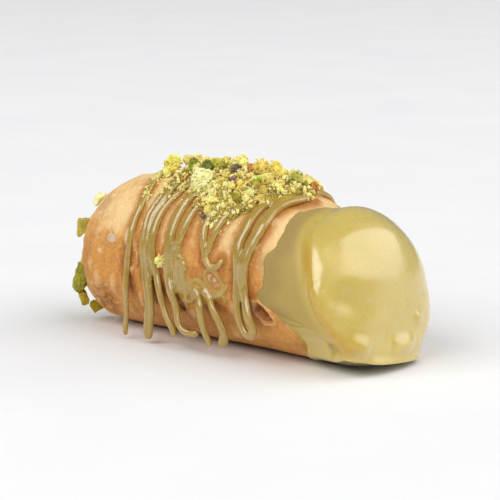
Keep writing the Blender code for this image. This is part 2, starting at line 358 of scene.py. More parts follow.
# Where the coating's edge and its thick ridge lie round the roll: degrees, station
EDGE_KNOTS = (
    (-180, 24.2), (-112, 24), (-97, 18.6), (-80, 17.6), (-60, 18.6), (-40, 17.4), (-25, 18.8),
    (-20, 22.5), (-14, 25.2), (-5, 25.6), (0, 23.8), (5, 21.6), (12, 20.5), (20, 19.4), (28, 19.1),
    (38, 19.6), (48, 20.2), (56, 20.7), (60, 18.8), (66, 18.2), (74, 19.4), (84, 19.2), (91, 17.4),
    (94, 16.9), (96, 18), (99, 20.2), (102, 21.8), (106, 23), (120, 24), (135, 25),
)
RIDGE_KNOTS = (
    (-180, 33), (-120, 31.5), (-95, 30), (-60, 29.4), (-25, 29.6), (0, 29.8), (25, 29),
    (42, 29), (58, 31.6), (75, 34), (90, 36), (102, 38.4), (118, 40.4), (132, 40.8),
    (150, 36),
)
EDGE_WAVES = ((0.35, 2.4, 61), (0.2, 0.9, 62))
# Flats and hollows of the coating: station, degrees, length, width in radians and depth
COAT_FORMS = (
    (37, -36, 7, 0.75, 0.3), (31, 128, 7, 0.24, 2.2), (34, -128, 7, 0.15, 0.8),
)
# Lumps and dents of its skin: centre, size and height
COAT_LUMPS = (
    ((42.4, 6.3, 10.2), 1.1, 1), ((42.2, -4.6, 8.4), 2, -0.35),
    ((38.2, -13.6, 16.6), 2.8, -0.45), ((38.3, -7.5, 24.7), 2.4, -0.22),
    ((34.6, -8.4, 28.4), 3.2, 0.3),
)
# Thin creases of its skin: start, end, height and width
COAT_CREASES = (
    ((33, -16.8, 19.5), (36.2, -16.7, 13.2), 0.6, 1.7),
    ((34.4, -17.2, 14.6), (38.8, -15.4, 9.8), 0.4, 1.9),
    ((39, -14, 8.2), (41.9, -8.8, 5.7), 1.3, 1.9),
    ((42.1, -2.8, 5.2), (42.2, 5.4, 5.2), 1.2, 2),
    ((21, -16.2, 12.4), (32.8, -15, 9), -0.8, 0.36),
    ((21.6, -16.4, 11.5), (32.8, -15.2, 8.1), 0.5, 0.5),
    ((23, -15, 9.3), (31.5, -14.9, 9.6), -0.7, 0.34),
)


# The collar rises between these distances before the ridge, and its roll stands out by a height
# over a width
COLLAR_START = 4.4
COLLAR_END = 0.4
ROLL_HEIGHT = 0.75
ROLL_WIDTH = 3.4
# The film's thickness at its edge and further in, and how much of the dough's bumps it fills
FILM_EDGE = 0.24
FILM_THICKNESS = 0.55
FILM_FILLING = 0.85
# How far the coating may lie below the roll's side, and how its outside and the collar blend
LEAST_DEPTH = 0.7
COLLAR_BLEND = 1.6
# The foot's outline (a power above 2 squares it), and the share of it that lies flat
FOOT_POWER = 2.6
FOOT_FLAT = 0.25


def circle(angle):
    """Places round a plain circle, to look up noise that closes up."""
    return np.stack([np.cos(angle), np.sin(angle), 0 * angle], axis=-1) * SIDE_RADIUS


def coat_edge(angle):
    """The station where the coating's thin, uneven edge lies."""
    return knotted(angle, EDGE_KNOTS, 1.5) + waves(circle(angle), EDGE_WAVES)


def superellipse(reach, power):
    return clamped(1 - reach ** power) ** (1 / power)


def smooth_max(first, second, blend):
    """The larger of two values, with the corner between them rounded off."""
    near = clamped(1 - np.abs(first - second) / blend)
    return np.maximum(first, second) + blend * near * near / 4


def underside(station, across):
    """Height of the coating's underside: flat in the middle and curling up to a lip round it."""
    along = (station - FOOT_STATION) / FOOT_HALF_LENGTH
    side = across / FOOT_HALF_WIDTH
    reach = (np.abs(along) ** FOOT_POWER + np.abs(side) ** FOOT_POWER) ** (1 / FOOT_POWER)
    lip = LIP_HEIGHT - LIP_TILT * np.clip(across, -12, 10)
    lip = lip * smooth_step(23.5, 27.5, station)
    return lip * np.clip((reach - FOOT_FLAT) / (1 - FOOT_FLAT), 0, 1.1) ** 1.25, lip


def coating(share, angle):
    """The coating's outside from its edge (share 0) over its shoulder (1) to its tip (2).

    Its marks say where it is a thin film, where its underside gets painted shade, and where the
    valley before the ridge turns a deeper orange-gold: partly the dough showing through the
    thinner coat, partly painted shade and bounce light.
    """
    edge = coat_edge(angle)
    on_sleeve = np.minimum(share, 1)
    reach = np.sin(clamped(share - 1) * math.pi / 2) ** 0.8
    station = edge + (SHOULDER_STATION - edge) * on_sleeve + DOME_LENGTH * reach
    low = smooth_step(0.25, -0.7, np.cos(angle))

    # A thick rolled collar starts at the ridge; before it the coating is only a film
    ridge = knotted(angle, RIDGE_KNOTS, 5)
    collar = smooth_step(ridge - COLLAR_START, ridge - COLLAR_END, station)
    upright = smooth_step(math.radians(140), math.radians(115), np.abs(turn(angle)))
    dome = SHOULDER_RADIUS * superellipse(reach, DOME_POWER + 1.3 * low)
    crowned = 0.25 + 0.75 * smooth_step(0.95, 0.6, np.cos(angle))
    rolled = ROLL_HEIGHT * crowned * bell(station, ridge + 0.4, ROLL_WIDTH)
    dome = dome + upright * (rolled - 0.12 * bell(station, ridge + 4.6, 2.4))
    hollow = 0
    for centre, degrees, length, width, depth in COAT_FORMS:
        along = bell(station, centre, length)
        hollow = hollow + depth * along * bell(turn(angle - math.radians(degrees)), 0, width)

    # The film follows the dough, with a thin rounded edge, and fills its finer bumps
    dough_points, _ = dough(station, angle)
    on_dough = np.hypot(dough_points[..., 1], dough_points[..., 2] - AXIS_HEIGHT)
    past = station - edge
    film = on_dough + FILM_EDGE * np.sqrt(smooth_step(0, 0.7, past))
    even = plain_radius(station, angle) + FILM_THICKNESS
    film = film + (even - film) * FILM_FILLING * smooth_step(0.6, 3.5, past)
    thin = 0.65 + 0.35 * smooth_step(7, 1, past)
    thin = thin * smooth_step(ridge - 1.6, ridge - 7, station)
    thin = thin * (0.25 + 0.75 * smooth_step(math.radians(122), math.radians(98), angle))
    radius = film + (dome - film) * collar
    radius = -smooth_max(-radius, -dome, COLLAR_BLEND) - hollow
    least = SIDE_RADIUS - LEAST_DEPTH
    least = least - SIDE_RADIUS * smooth_step(SHELL_FRONT, SHELL_FRONT + 3, station)
    radius = smooth_max(radius, least, 0.5)

    # A deeper orange-gold in the valley before the ridge, wider low down: partly the dough showing
    # through the thinner coat, partly painted shade and bounce light in the hollow
    spread = 2.1 + 0.8 * smooth_step(math.radians(90), math.radians(110), angle)
    valley_tint_and_shade = bell(station, ridge - 2, spread) * upright * smooth_step(0.9, 0.5, np.cos(angle))
    lean = smooth_step(SHOULDER_STATION - 5, SHOULDER_STATION + DOME_LENGTH, station)
    height = AXIS_HEIGHT - DOME_SAG * lean + radius * np.cos(angle)
    across = -radius * np.sin(angle)
    station = station - FACE_SLOPE * lean * radius * np.cos(angle)
    floor, lip = underside(station, across)
    # Painted shade: the underside, where it faces the table, is marked to be coloured darker
    under_shade = smooth_step(-0.1, 0.3, floor - height) * smooth_step(25, 28, station)
    flare = FOOT_FLARE * bell(height, lip - 0.3, 1.4) * smooth_step(23, 27, station)
    across = across * (1 + flare)
    station = station + (station - FOOT_STATION) * flare * 0.6
    height = np.maximum(smooth_max(height, floor, 0.35), 0)
    marks = np.stack([thin, under_shade, valley_tint_and_shade], axis=-1)
    return np.stack([station, across, height], axis=-1), marks


def grid_normals(points):
    """Outward directions over rings of points that start at the coating's edge."""
    along = np.gradient(points, axis=0)
    round_ring = np.roll(points, -1, axis=1) - np.roll(points, 1, axis=1)
    normal = np.cross(round_ring, along)
    return normal / np.maximum(np.linalg.norm(normal, axis=-1, keepdims=True), 1e-9)


def coat_relief(points):
    """How far the coating's skin stands out or dips in: slow waves, lumps and creases."""
    relief = waves(points, ((0.14, 9, 91), (0.03, 4, 92)))
    for centre, size, height in COAT_LUMPS:
        gap = np.linalg.norm(points - np.array(centre), axis=-1)
        relief += height * bell(gap, 0, size)
    for start, end, height, width in COAT_CREASES:
        gap, share = line_gap(points, np.array(start), np.array(end))
        fading = np.sin(np.clip(share, 0.02, 0.98) * math.pi) ** 0.5
        relief += height * bell(gap, 0, width) * fading
    return relief


# ---------------------------------------------------------------- meshes

def make_piece(name, points, faces, smooth=True):
    """A mesh object from points in millimetres."""
    mesh = bpy.data.meshes.new(name)
    mesh.from_pydata(((points + ORIGIN) * MM).tolist(), [], faces)
    if smooth:
        mesh.shade_smooth()
    piece = bpy.data.objects.new(name, mesh)
    bpy.context.scene.collection.objects.link(piece)
    return piece


def store(piece, name, values):
    """Keeps one number, or one colour of three numbers, for each point of a piece."""
    if values.ndim == 1:
        attribute = piece.data.attributes.new(name, "FLOAT", "POINT")
        attribute.data.foreach_set("value", values.astype(np.float32))
        return
    colour = np.ones((len(values), 4), np.float32)
    colour[:, :3] = values
    attribute = piece.data.attributes.new(name, "FLOAT_COLOR", "POINT")
    attribute.data.foreach_set("color", colour.ravel())


def ring_faces(rows, columns, joined=False):
    """Quads between rings of points; joined, the last ring meets the first."""
    row = np.arange(rows if joined else rows - 1)[:, None] * columns
    column = np.arange(columns)[None, :]
    after = (column + 1) % columns
    below = (row + columns) % (rows * columns)
    quads = np.stack([row + column, row + after, below + after, below + column], axis=-1)
    return quads.reshape(-1, 4)


def fan(start, columns, centre, flipped=False):
    """Triangles between a ring, given by its first point, and a centre point."""
    column = np.arange(columns)
    after = (column + 1) % columns
    if flipped:
        column, after = after, column
    return np.stack([start + column, start + after, np.full(columns, centre)], axis=-1).tolist()


def outward(piece):
    """Turns a closed piece's faces outward."""
    body = bmesh.new()
    body.from_mesh(piece.data)
    bmesh.ops.recalc_face_normals(body, faces=body.faces)
    if body.calc_volume(signed=True) < 0:
        bmesh.ops.reverse_faces(body, faces=body.faces)
    body.to_mesh(piece.data)
    body.free()


def show(piece, slot, material, *nodes):
    """Rides the piece on the body, gives it the material and hides the CAD nodes that it replaces;
    the slot is not used.
    """
    piece.data.materials.append(material)
    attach(piece, "root")
    if nodes:
        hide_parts(*nodes)


SHELL_COLUMNS = 380
SHELL_ROWS = 201
# How far the dough's full detail runs on under the coating
OVERLAP = 1.5
# Rings under the coating, as shares of the way to the front end, and rings of the bore
COVERED_SHARES = (0.1, 0.25, 0.45, 0.7, 1)
BORE_STATIONS = (SHELL_FRONT, 10, -12, -28, -33, -35)
# The broken rim's unevenness and its inner side: depth below the outside and how far back
RIM_WAVES = ((0.35, 3, 70), (0.2, 1.2, 71))
LIP = ((1.9, 0.35), (1.3, -0.1), (0.7, -0.18), (0.25, -0.1))


def strand_gap(points):
    """Distance from points to the side of the nearest strand of drizzle."""
    middles = []
    halves = []
    for start_width, end_width, on_dough, hanging in (*NEAR_STRANDS, *FAR_STRANDS):
        middle, _ = strand_path(on_dough, hanging)
        middles.append(middle)
        halves.append(np.linspace(start_width, end_width, len(middle)) / 2)
    middles = np.concatenate(middles)
    halves = np.concatenate(halves)
    tree = KDTree(len(middles))
    for index, middle in enumerate(middles):
        tree.insert(middle, index)
    tree.balance()
    near = [tree.find(point) for point in points.tolist()]
    gaps = np.array([gap for _, _, gap in near])
    return np.maximum(gaps - halves[[index for _, index, _ in near]], 0)


def bore_ring(station, angles, depth):
    """A ring of points at a depth below the roll's plain outside."""
    radius = plain_radius(np.full_like(angles, station), angles) - depth
    return place(station, angles, radius)


def make_shell(material):
    """The dough tube: outside, front end, bore and the broken rim at the rear."""
    angles = ring_angles(SHELL_COLUMNS)
    front = coat_edge(angles) + OVERLAP
    share = np.linspace(0, 1, SHELL_ROWS)[:, None]
    station = REAR_RIM + (front[None, :] - REAR_RIM) * share
    outside, marks = dough(station, np.broadcast_to(angles, station.shape))
    # Darker, browner dough beside the strands: painted shade where they meet the dough
    strand_shade = bell(strand_gap(outside.reshape(-1, 3)).reshape(station.shape), 0, 1.5)
    marks[..., 0] -= 0.4 * strand_shade
    marks[..., 2] = np.maximum(marks[..., 2], 0.5 * strand_shade)
    ragged = waves(circle(angles), RIM_WAVES)
    rim_depth = smooth_step(1.2, 0, outside[..., 0] - REAR_RIM)
    outside[..., 0] += (0.35 + ragged[None, :]) * rim_depth
    centre = np.array([0, 0, AXIS_HEIGHT])

    def inset(points, depth):
        """Points moved towards the roll's axis by a depth."""
        offset = points - centre
        offset[..., 0] = 0
        return points - unit(offset) * depth

    covered = []
    for share in COVERED_SHARES:
        where = front + (SHELL_FRONT - front) * share
        depth = 0.9 + 1.1 * share
        covered.append(place(where, angles, plain_radius(where, angles) - depth))
    bore = [bore_ring(where, angles, WALL) for where in BORE_STATIONS]
    lip = [inset(outside[0], depth) + np.array([back, 0, 0]) for depth, back in LIP]
    rings = [*outside, *covered, *bore, *lip]
    points = np.concatenate(rings)
    all_marks = np.full((len(points), 3), (0.6, 0.2, 0.1))
    all_marks[: SHELL_ROWS * SHELL_COLUMNS] = marks.reshape(-1, 3)
    faces = ring_faces(len(rings), SHELL_COLUMNS, joined=True).tolist()
    piece = make_piece("shell_dough", points, faces)
    store(piece, "marks", all_marks)
    outward(piece)
    show(piece, "shell", material, "shell")


COAT_COLUMNS = 400
SLEEVE_ROWS = 48
DOME_ROWS = 72
# The share of the way to the tip where the last ring lies
LAST_RING = 0.985
# The thickness of the coating's edge and how far it is tucked forward beneath itself
EDGE_DEPTH = 0.9
EDGE_TUCK = 0.6
LINING_RADIUS = 11
LINING_LENGTH = 6
LINING_TIP = 9


def make_coating(material):
    """The dipped coating: its skin, closed by a lining that lies inside the dough."""
    angles = ring_angles(COAT_COLUMNS)
    share = np.concatenate([
        np.linspace(0, 1, SLEEVE_ROWS, endpoint=False) ** 1.3,
        1 + np.linspace(0, LAST_RING, DOME_ROWS),
    ])[:, None]
    skin, marks = coating(share, np.broadcast_to(angles, (len(share), COAT_COLUMNS)))
    firm = smooth_step(0, 0.3, share) * (1 - 0.8 * marks[..., 0])
    skin += grid_normals(skin) * (coat_relief(skin) * firm)[..., None]
    skin[..., 2] = np.maximum(skin[..., 2], 0)
    edge = skin[0]
    centre = np.array([0, 0, AXIS_HEIGHT])
    offset = edge - centre
    offset[:, 0] = 0
    reach = np.linalg.norm(offset, axis=-1, keepdims=True)
    tucked = edge - offset / reach * EDGE_DEPTH
    tucked[:, 0] += EDGE_TUCK
    deep = edge - offset / reach * (reach - LINING_RADIUS)
    deep[:, 0] += LINING_LENGTH
    tip, _ = coating(np.array([[2]]), np.array([[0]]))
    inner_tip = np.array([[edge[:, 0].mean() + LINING_TIP, 0, AXIS_HEIGHT]])
    rings = [deep, tucked, *skin]
    points = np.concatenate([*rings, tip.reshape(1, 3), inner_tip])
    faces = ring_faces(len(rings), COAT_COLUMNS).tolist()
    faces += fan((len(rings) - 1) * COAT_COLUMNS, COAT_COLUMNS, len(points) - 2)
    faces += fan(0, COAT_COLUMNS, len(points) - 1, flipped=True)
    piece = make_piece("coating_dip", points, faces)
    values = np.zeros((len(points), 3))
    values[: 2 * COAT_COLUMNS, 0] = 1
    values[2 * COAT_COLUMNS: -2] = marks.reshape(-1, 3)
    # The film, the underside's painted shade, and the valley's tint that is partly painted shade
    store(piece, "film", values[:, 0])
    store(piece, "under_shade", values[:, 1])
    store(piece, "valley_tint_and_shade", values[:, 2])
    outward(piece)
    show(piece, "coating", material, "dip")


# ---------------------------------------------------------------- drizzle

# How far beside the roll's axis the strands' free ends hang
HANGING_ACROSS = 16.9
# Strands of drizzle: width at the start and the end, places on the dough as (station, degrees),
# then places hanging free beside the roll as (station, height)
NEAR_STRANDS = (
    (1.65, 1.3, ((-23, -6), (-22, 11), (-19.3, 39), (-19.4, 55), (-19.6, 74), (-19.8, 88)),
     ((-19.4, 11.5), (-19.3, 5.9), (-19.7, 1))),
    (3, 2.6, ((-15.6, -6), (-14.1, 8), (-13.6, 33), (-14.9, 48), (-14.7, 67), (-14.1, 86)),
     ((-12.9, 12), (-12, 7.8), (-12.8, 3.2), (-12.9, 1.1))),
    (1.8, 1.9, ((-11.5, -6), (-10.4, 10), (-10.2, 29), (-12.3, 43), (-12.9, 61), (-12.6, 76),
                (-11.2, 90)),
     ((-9.7, 12.2), (-8, 8.2), (-5.6, 4.8), (-4.7, 3.4))),
    (3.2, 1.7, ((-8, -6), (-6.8, 12), (-6.5, 29), (-7.3, 44), (-7.7, 56), (-7.6, 68),
                (-7.9, 80), (-7.4, 92)),
     ((-6.1, 12.4), (-4.6, 8.6), (-3.4, 5.8), (-1.4, 4.6), (0.8, 4.5), (2, 5))),
    (2.9, 1.8, ((-3.4, -6), (-2.8, 14), (-2.6, 32), (-3.4, 43), (-4.1, 54), (-4.9, 64),
                (-6.6, 71)), ()),
    (2.5, 1.1, ((2.8, 0), (2.3, 33), (1.6, 51), (2.1, 60), (2.7, 68), (3.3, 74), (4.5, 78),
                (6.6, 76.5), (7.5, 71)), ()),
    (3.2, 1.5, ((7.6, 0), (7.2, 30), (6.1, 39), (5.1, 49), (4.3, 59), (3.4, 69)), ()),
    (2, 1.85, ((-0.2, 96), (1, 101)),
     ((2.5, 11), (3.3, 7.4), (4.4, 4.2), (5.6, 2.6))),
    (1.6, 2.2, ((2.6, 95), (4.2, 101)),
     ((6, 10.6), (7.9, 7.6), (9.1, 5.2), (8.7, 3.4), (7.8, 2.6))),
    (2.3, 2, ((15.9, -2), (15.1, 17), (13.4, 23), (12.4, 30), (11.9, 40), (12, 49),
                (11.4, 55), (11.7, 69), (12, 84)),
     ((12.5, 12.6), (13.3, 9.8), (14.6, 7.4), (16.3, 6.3), (17.6, 7.3), (17.7, 9))),
    (3.4, 2.2, ((18.2, 3), (17.8, 7), (17.4, 13), (16.3, 22), (15.6, 29), (15.5, 39),
                (15.3, 49), (14.4, 60), (13.7, 70), (13.5, 80), (13.9, 89)),
     ((14.8, 13.4), (16.2, 10.9), (17.6, 8.4))),
)
# Thin threads in the smeared web between the strands: width and places as (station, degrees)
WEB_THREADS = (
    (0.7, ((3.1, 85), (3.4, 81.5), (4.6, 79), (6, 82), (7.2, 86), (7.9, 92), (7, 95.5),
           (5.7, 95), (4.3, 91.5), (3.2, 87), (3.1, 84))),
    (0.75, ((3.1, 92.5), (1.9, 89.5), (0.2, 89.5), (-1.1, 93), (-1.2, 98), (0.2, 100.5),
           (1.4, 98.5), (1.2, 95.5), (0.3, 94.5))),
    (1.1, ((1.6, 90), (3.1, 94), (4.4, 99.5), (5.4, 100), (6.8, 98), (8.2, 94), (8.9, 90))),
    (1.6, ((-1.6, 100), (0.2, 103), (2.4, 104.5), (4, 103), (5.4, 99))),
    (0.9, ((4.4, 96), (5, 99), (4.6, 104))),
    (0.8, ((7.4, 97), (8.1, 99), (8.3, 102))),
)
FAR_STRANDS = (
    (1.5, 1.4, ((-22.5, 2), (-22.3, -25), (-21, -55), (-20.6, -85), (-19.4, -104),
                (-17.8, -108), (-16.2, -102), (-15.4, -80), (-15.2, -50), (-14.8, -22),
                (-14.6, 4)), ()),
    (1.9, 1.5, ((-10.5, 4), (-10.2, -25), (-10.6, -55), (-9.2, -85), (-8.6, -112), (-7.4, -120),
                (-6.2, -112), (-5.8, -85), (-6.8, -55), (-6.9, -25), (-7.2, 4)), ()),
    (1.4, 1.6, ((-2.9, 4), (-2.2, -30), (-0.8, -58), (-0.2, -88), (0.9, -104), (2.2, -98),
                (2.6, -70), (2.9, -35), (2.8, 4)), ()),
    (2.1, 1.6, ((6.8, 4), (7.4, -28), (8.6, -60), (8.2, -92), (9, -118), (10.8, -126),
                (12.6, -116), (13, -88), (13.8, -55), (15.2, -25), (15.9, 2)), ()),
)
STRAND_STEP = 0.3
STRAND_SIDES = 20
# The strand that is really two laid side by side
FURROWED = 1
# Sizes of the cells in which the strands melt together
NEAR_VOXEL = 0.21
FAR_VOXEL = 0.2


def free_knot(station, height):
    """A place hanging beside the roll, as a station, degrees and lift above the dough."""
    rise = height - AXIS_HEIGHT
    across = HANGING_ACROSS - 0.8 * float(smooth_step(9, 17, height))
    angle = math.atan2(across, rise)
    lift = math.hypot(across, rise) - float(plain_radius(station, angle))
    return station, math.degrees(angle), lift


def spline(knots, spacing, scale):
    """Points along a smooth curve through knots; scale gives each column its length in mm."""
    knots = np.array(knots, float)
    padded = np.concatenate([2 * knots[:1] - knots[1:2], knots, 2 * knots[-1:] - knots[-2:-1]])
    pieces = []
    for first, start, end, last in zip(padded, padded[1:], padded[2:], padded[3:]):
        count = max(int(np.linalg.norm((end - start) * scale) / spacing), 1)
        share = np.linspace(0, 1, count, endpoint=False)[:, None]
        bend = (2 * first - 5 * start + 4 * end - last) * share ** 2
        bend = bend + (3 * start - first - 3 * end + last) * share ** 3
        pieces.append(start + 0.5 * ((end - first) * share + bend))
    return np.concatenate([*pieces, knots[-1:]])


def strand_path(on_dough, hanging):
    """Middle points of a strand and the roll's outward direction at each."""
    knots = [(station, degrees, 0) for station, degrees in on_dough]
    knots += [free_knot(station, height) for station, height in hanging]
    track = spline(knots, STRAND_STEP, np.array([1, math.radians(SIDE_RADIUS), 1]))
    angle = np.radians(track[:, 1])
    points, _ = dough(track[:, 0], angle)
    out = outward_at(angle)
    points = points + out * np.maximum(track[:, 2:], 0)
    for _ in range(12):
        points[1:-1] = 0.25 * points[:-2] + 0.5 * points[1:-1] + 0.25 * points[2:]
    return points, out


def tube(middle, out, width, thickness, depth):
    """A closed tube of flattened rings round the middle points, with a furrow along its top."""
    ahead = unit(np.gradient(middle, axis=0))
    side = unit(np.cross(ahead, out))
    up = np.cross(side, ahead)
    turns = np.linspace(0, math.tau, STRAND_SIDES, endpoint=False)[None, :, None]
    half = 0.5 * np.asarray(width)[:, None, None]
    high = 0.5 * np.asarray(thickness)[:, None, None]
    furrow = depth * smooth_step(1.6, 2.6, 2 * half) * bell(np.cos(turns), 0.05, 0.28)
    high = high * (1 - furrow * (np.sin(turns) > 0))
    rings = middle[:, None] + side[:, None] * half * np.cos(turns)
    rings = rings + up[:, None] * high * np.sin(turns)
    points = np.concatenate([rings.reshape(-1, 3), middle[:1], middle[-1:]])
    faces = ring_faces(len(middle), STRAND_SIDES).tolist()
    faces += fan(0, STRAND_SIDES, len(points) - 2, flipped=True)
    faces += fan((len(middle) - 1) * STRAND_SIDES, STRAND_SIDES, len(points) - 1)
    return points, faces


def strand_tube(start_width, end_width, on_dough, hanging, index):
    """A strand as a closed tube, a little uneven and rounded off at its ends."""
    seed = 100 + 3 * index
    middle, out = strand_path(on_dough, hanging)
    count = len(middle)
    uneven = 1 + 0.14 * noise(middle, 5, seed) + 0.06 * noise(middle, 1.7, seed + 1)
    width = start_width + (end_width - start_width) * np.linspace(0, 1, count)
    end = np.minimum(np.arange(count) + 1, np.arange(count, 0, -1)) * STRAND_STEP / width
    rounded = np.sqrt(np.clip(end, 0.05, 1) * (2 - np.clip(end, 0.05, 1)))
    wide = width * uneven * rounded
    thick = np.minimum(wide * 0.75, 0.55 + 0.4 * wide)
    depth = 0.5 if index == FURROWED else 0.12
    return tube(middle + out * (0.2 * thick)[:, None], out, wide, thick, depth)


# The smeared web of coating: the outlines of its sheet and of a thinner film beside it as
# (station, degrees), and the sheet's holes as (station, degrees, length, width)
WEB_OUTLINE = (
    (-7.4, 70), (-6, 67), (-4.2, 65), (-3.4, 72), (-2.4, 78), (-1.9, 86), (-1.4, 92),
    (0.2, 96), (1.4, 99), (2.6, 103), (1.4, 106), (0.2, 104), (-0.8, 109), (-2.2, 106),
    (-3.2, 112), (-4.4, 108), (-5.4, 113), (-6.6, 112), (-6.9, 104), (-7, 95), (-8.2, 84),
    (-8.4, 75),
)
FILM_OUTLINE = (
    (-2.2, 84), (-0.6, 89), (1.4, 86.5), (3.2, 80), (5.4, 79), (7.6, 85), (8.6, 92), (8, 99),
    (5.6, 103), (2.6, 105), (-1.6, 103),
)
WEB_HOLES = (
    (-1.6, 102.5, 0.7, 1.2), (-5.4, 107.5, 0.8, 1.5), (0.1, 96.5, 0.7, 1),
)
WEB_STEP = 0.22
WEB_STATIONS = (-9.4, 10.4)
WEB_DEGREES = (62, 115)


def inside_outline(station, degrees, outline):
    """Distance to an outline on the unrolled roll, above zero inside it."""
    place_at = np.stack([station, np.radians(degrees) * SIDE_RADIUS], axis=-1)
    corners = np.array(outline, float)
    corners[:, 1] = np.radians(corners[:, 1]) * SIDE_RADIUS
    nearest = np.full(station.shape, 99)
    crossings = np.zeros(station.shape, int)
    for start, end in zip(corners, np.roll(corners, -1, axis=0)):
        nearest = np.minimum(nearest, line_gap(place_at, start, end)[0])
        above = (place_at[..., 1] > start[1]) != (place_at[..., 1] > end[1])
        slope = (end[0] - start[0]) / (end[1] - start[1] + 1e-9)
        crossings += above & (place_at[..., 0] < start[0] + slope * (place_at[..., 1] - start[1]))
    return np.where(crossings % 2 == 1, nearest, -nearest)


def web_depth(station, angle):
    """Thickness of the smeared web above the dough, below nothing outside it."""
    inside = inside_outline(station, np.degrees(angle), WEB_OUTLINE)
    base = place(station, angle, SIDE_RADIUS)
    inside = inside + 0.6 * noise(base * np.array([1.3, 0.7, 0.7]), 1.4, 81)
    inside = inside + 0.3 * noise(base, 0.7, 82)
    for centre, degrees, length, width in WEB_HOLES:
        along, across = around(station, angle, centre, degrees)
        reach = oval(along, across, (length, width))
        inside = np.minimum(inside, (reach - 1) * length)
        inside = inside + 0.35 * bell(reach, 1.15, 0.16)
    streaks = 0.5 + 0.9 * noise(base * np.array([1, 0.15, 0.15]), 1.1, 83)
    streaks = streaks + 0.4 * noise(base * np.array([1.8, 0.4, 0.4]), 0.9, 84)
    thick = 0.22 + 0.5 * np.clip(streaks, 0, 1.2)
    rim = 0.2 * bell(inside, 0.3, 0.25)
    sheet = np.clip(inside * 1.6, -1, 1) * thick + rim
    uneven = 1 + 0.5 * noise(base, 1.3, 85)
    within = np.full(station.shape, -1)
    for width, places in WEB_THREADS:
        for middle, degrees in spline(places, 0.4, np.array([1, math.radians(SIDE_RADIUS)])):
            gap = np.hypot(*around(station, angle, middle, degrees))
            within = np.maximum(within, 1 - 2 * gap / (width * uneven))
    ridges = np.clip(within * 1.4, -0.4, 0.75) * 0.5
    beside = inside_outline(station, np.degrees(angle), FILM_OUTLINE) + 0.6 * noise(base, 1.5, 86)
    along, across = around(station, angle, 5.5, 88)
    hole = np.hypot(along / 1.9, across / 1.8 - 0.5 * along / 1.9) - 1
    film = np.clip(np.minimum(beside, hole), -0.4, 0.3) * (0.3 + 0.5 * noise(base, 1.2, 87))
    return np.maximum(np.maximum(sheet, ridges), np.where(beside > -0.4, film, -0.4))


def slab(base, out, depth, under):
    """A closed slab over a grid of points: its top stands out by depth, its bottom lies under."""
    top = base + out * depth[..., None]
    bottom = base - out * under
    rows, columns = depth.shape
    points = np.concatenate([top.reshape(-1, 3), bottom.reshape(-1, 3)])
    row = np.arange(rows - 1)[:, None] * columns
    column = np.arange(columns - 1)[None, :]
    corner = row + column
    quads = np.stack([corner, corner + 1, corner + columns + 1, corner + columns], axis=-1)
    quads = quads.reshape(-1, 4)
    lower = rows * columns
    rim = np.concatenate([
        np.arange(columns - 1),
        np.arange(rows - 1) * columns + columns - 1,
        lower - 1 - np.arange(columns - 1),
        (rows - 1 - np.arange(rows - 1)) * columns,
    ])
    following = np.roll(rim, -1)
    wall = np.stack([following, rim, rim + lower, following + lower], axis=-1)
    return points, np.concatenate([quads, quads[:, ::-1] + lower, wall]).tolist()


def web_slab():
    """The smeared web between the near strands."""
    stations = np.arange(*WEB_STATIONS, WEB_STEP)
    angles = np.radians(np.arange(*WEB_DEGREES, math.degrees(WEB_STEP / SIDE_RADIUS)))
    station, angle = np.meshgrid(stations, angles, indexing="ij")
    base, _ = dough(station, angle)
    return slab(base, outward_at(angle), web_depth(station, angle), WEB_UNDER)


def gather(parts):
    """One list of points and faces from several."""
    points = []
    faces = []
    count = 0
    for part_points, part_faces in parts:
        points.append(part_points)
        faces += [[corner + count for corner in face] for face in part_faces]
        count += len(part_points)
    return np.concatenate(points), faces


def fuse(piece, voxel_mm, rounds):
    """Melts a piece's overlapping bodies into one smooth skin."""
    remesh = piece.modifiers.new("melt", "REMESH")
    remesh.mode = "VOXEL"
    remesh.voxel_size = voxel_mm * MM
    remesh.use_smooth_shade = True
    smooth = piece.modifiers.new("ease", "SMOOTH")
    smooth.factor = 0.5
    smooth.iterations = rounds
    seen = piece.evaluated_get(bpy.context.evaluated_depsgraph_get())
    mesh = bpy.data.meshes.new_from_object(seen)
    mesh.name = piece.name
    plain = piece.data
    piece.modifiers.clear()
    piece.data = mesh
    bpy.data.meshes.remove(plain)


def mark_web(piece):
    """Marks the web where it is so thin that the dough shows through, and the strands' edges for a
    painted highlight.
    """
    points = np.empty(len(piece.data.vertices) * 3, np.float32)
    piece.data.vertices.foreach_get("co", points)
    points = points.reshape(-1, 3) / MM - ORIGIN
    angle = np.arctan2(-points[:, 1], points[:, 2] - AXIS_HEIGHT)
    surface, _ = dough(points[:, 0], angle)
    rise = np.hypot(points[:, 1], points[:, 2] - AXIS_HEIGHT)
    rise = rise - np.hypot(surface[:, 1], surface[:, 2] - AXIS_HEIGHT)
    inside = inside_outline(points[:, 0], np.degrees(angle), WEB_OUTLINE)
    smeared = np.maximum(smooth_step(-0.6, 0.2, inside), web_depth(points[:, 0], angle) > -0.1)
    store(piece, "film", smooth_step(0.45, 0.08, rise) * smeared)
    # Lighter edges on the strands: a painted highlight, weaker on the web
    store(piece, "rim", smooth_step(0.75, 0.2, rise) * (1 - 0.7 * smeared))


def make_drizzle(name, strands, extra, voxel_mm, material):
    """One side's strands and any extra bodies, melted into one piece."""
    parts = [strand_tube(*strand, index) for index, strand in enumerate(strands)]
    points, faces = gather([*parts, *extra])
    points[:, 2] = np.maximum(points[:, 2], 0)
    piece = make_piece(name, points, faces)
    outward(piece)
    fuse(piece, voxel_mm, 2)
    mark_web(piece)
    show(piece, "coating", material)


# ---------------------------------------------------------------- chopped pistachios

BED_REAR = -16.5
BED_FRONT = 17.8
BED_RISE = 1.5
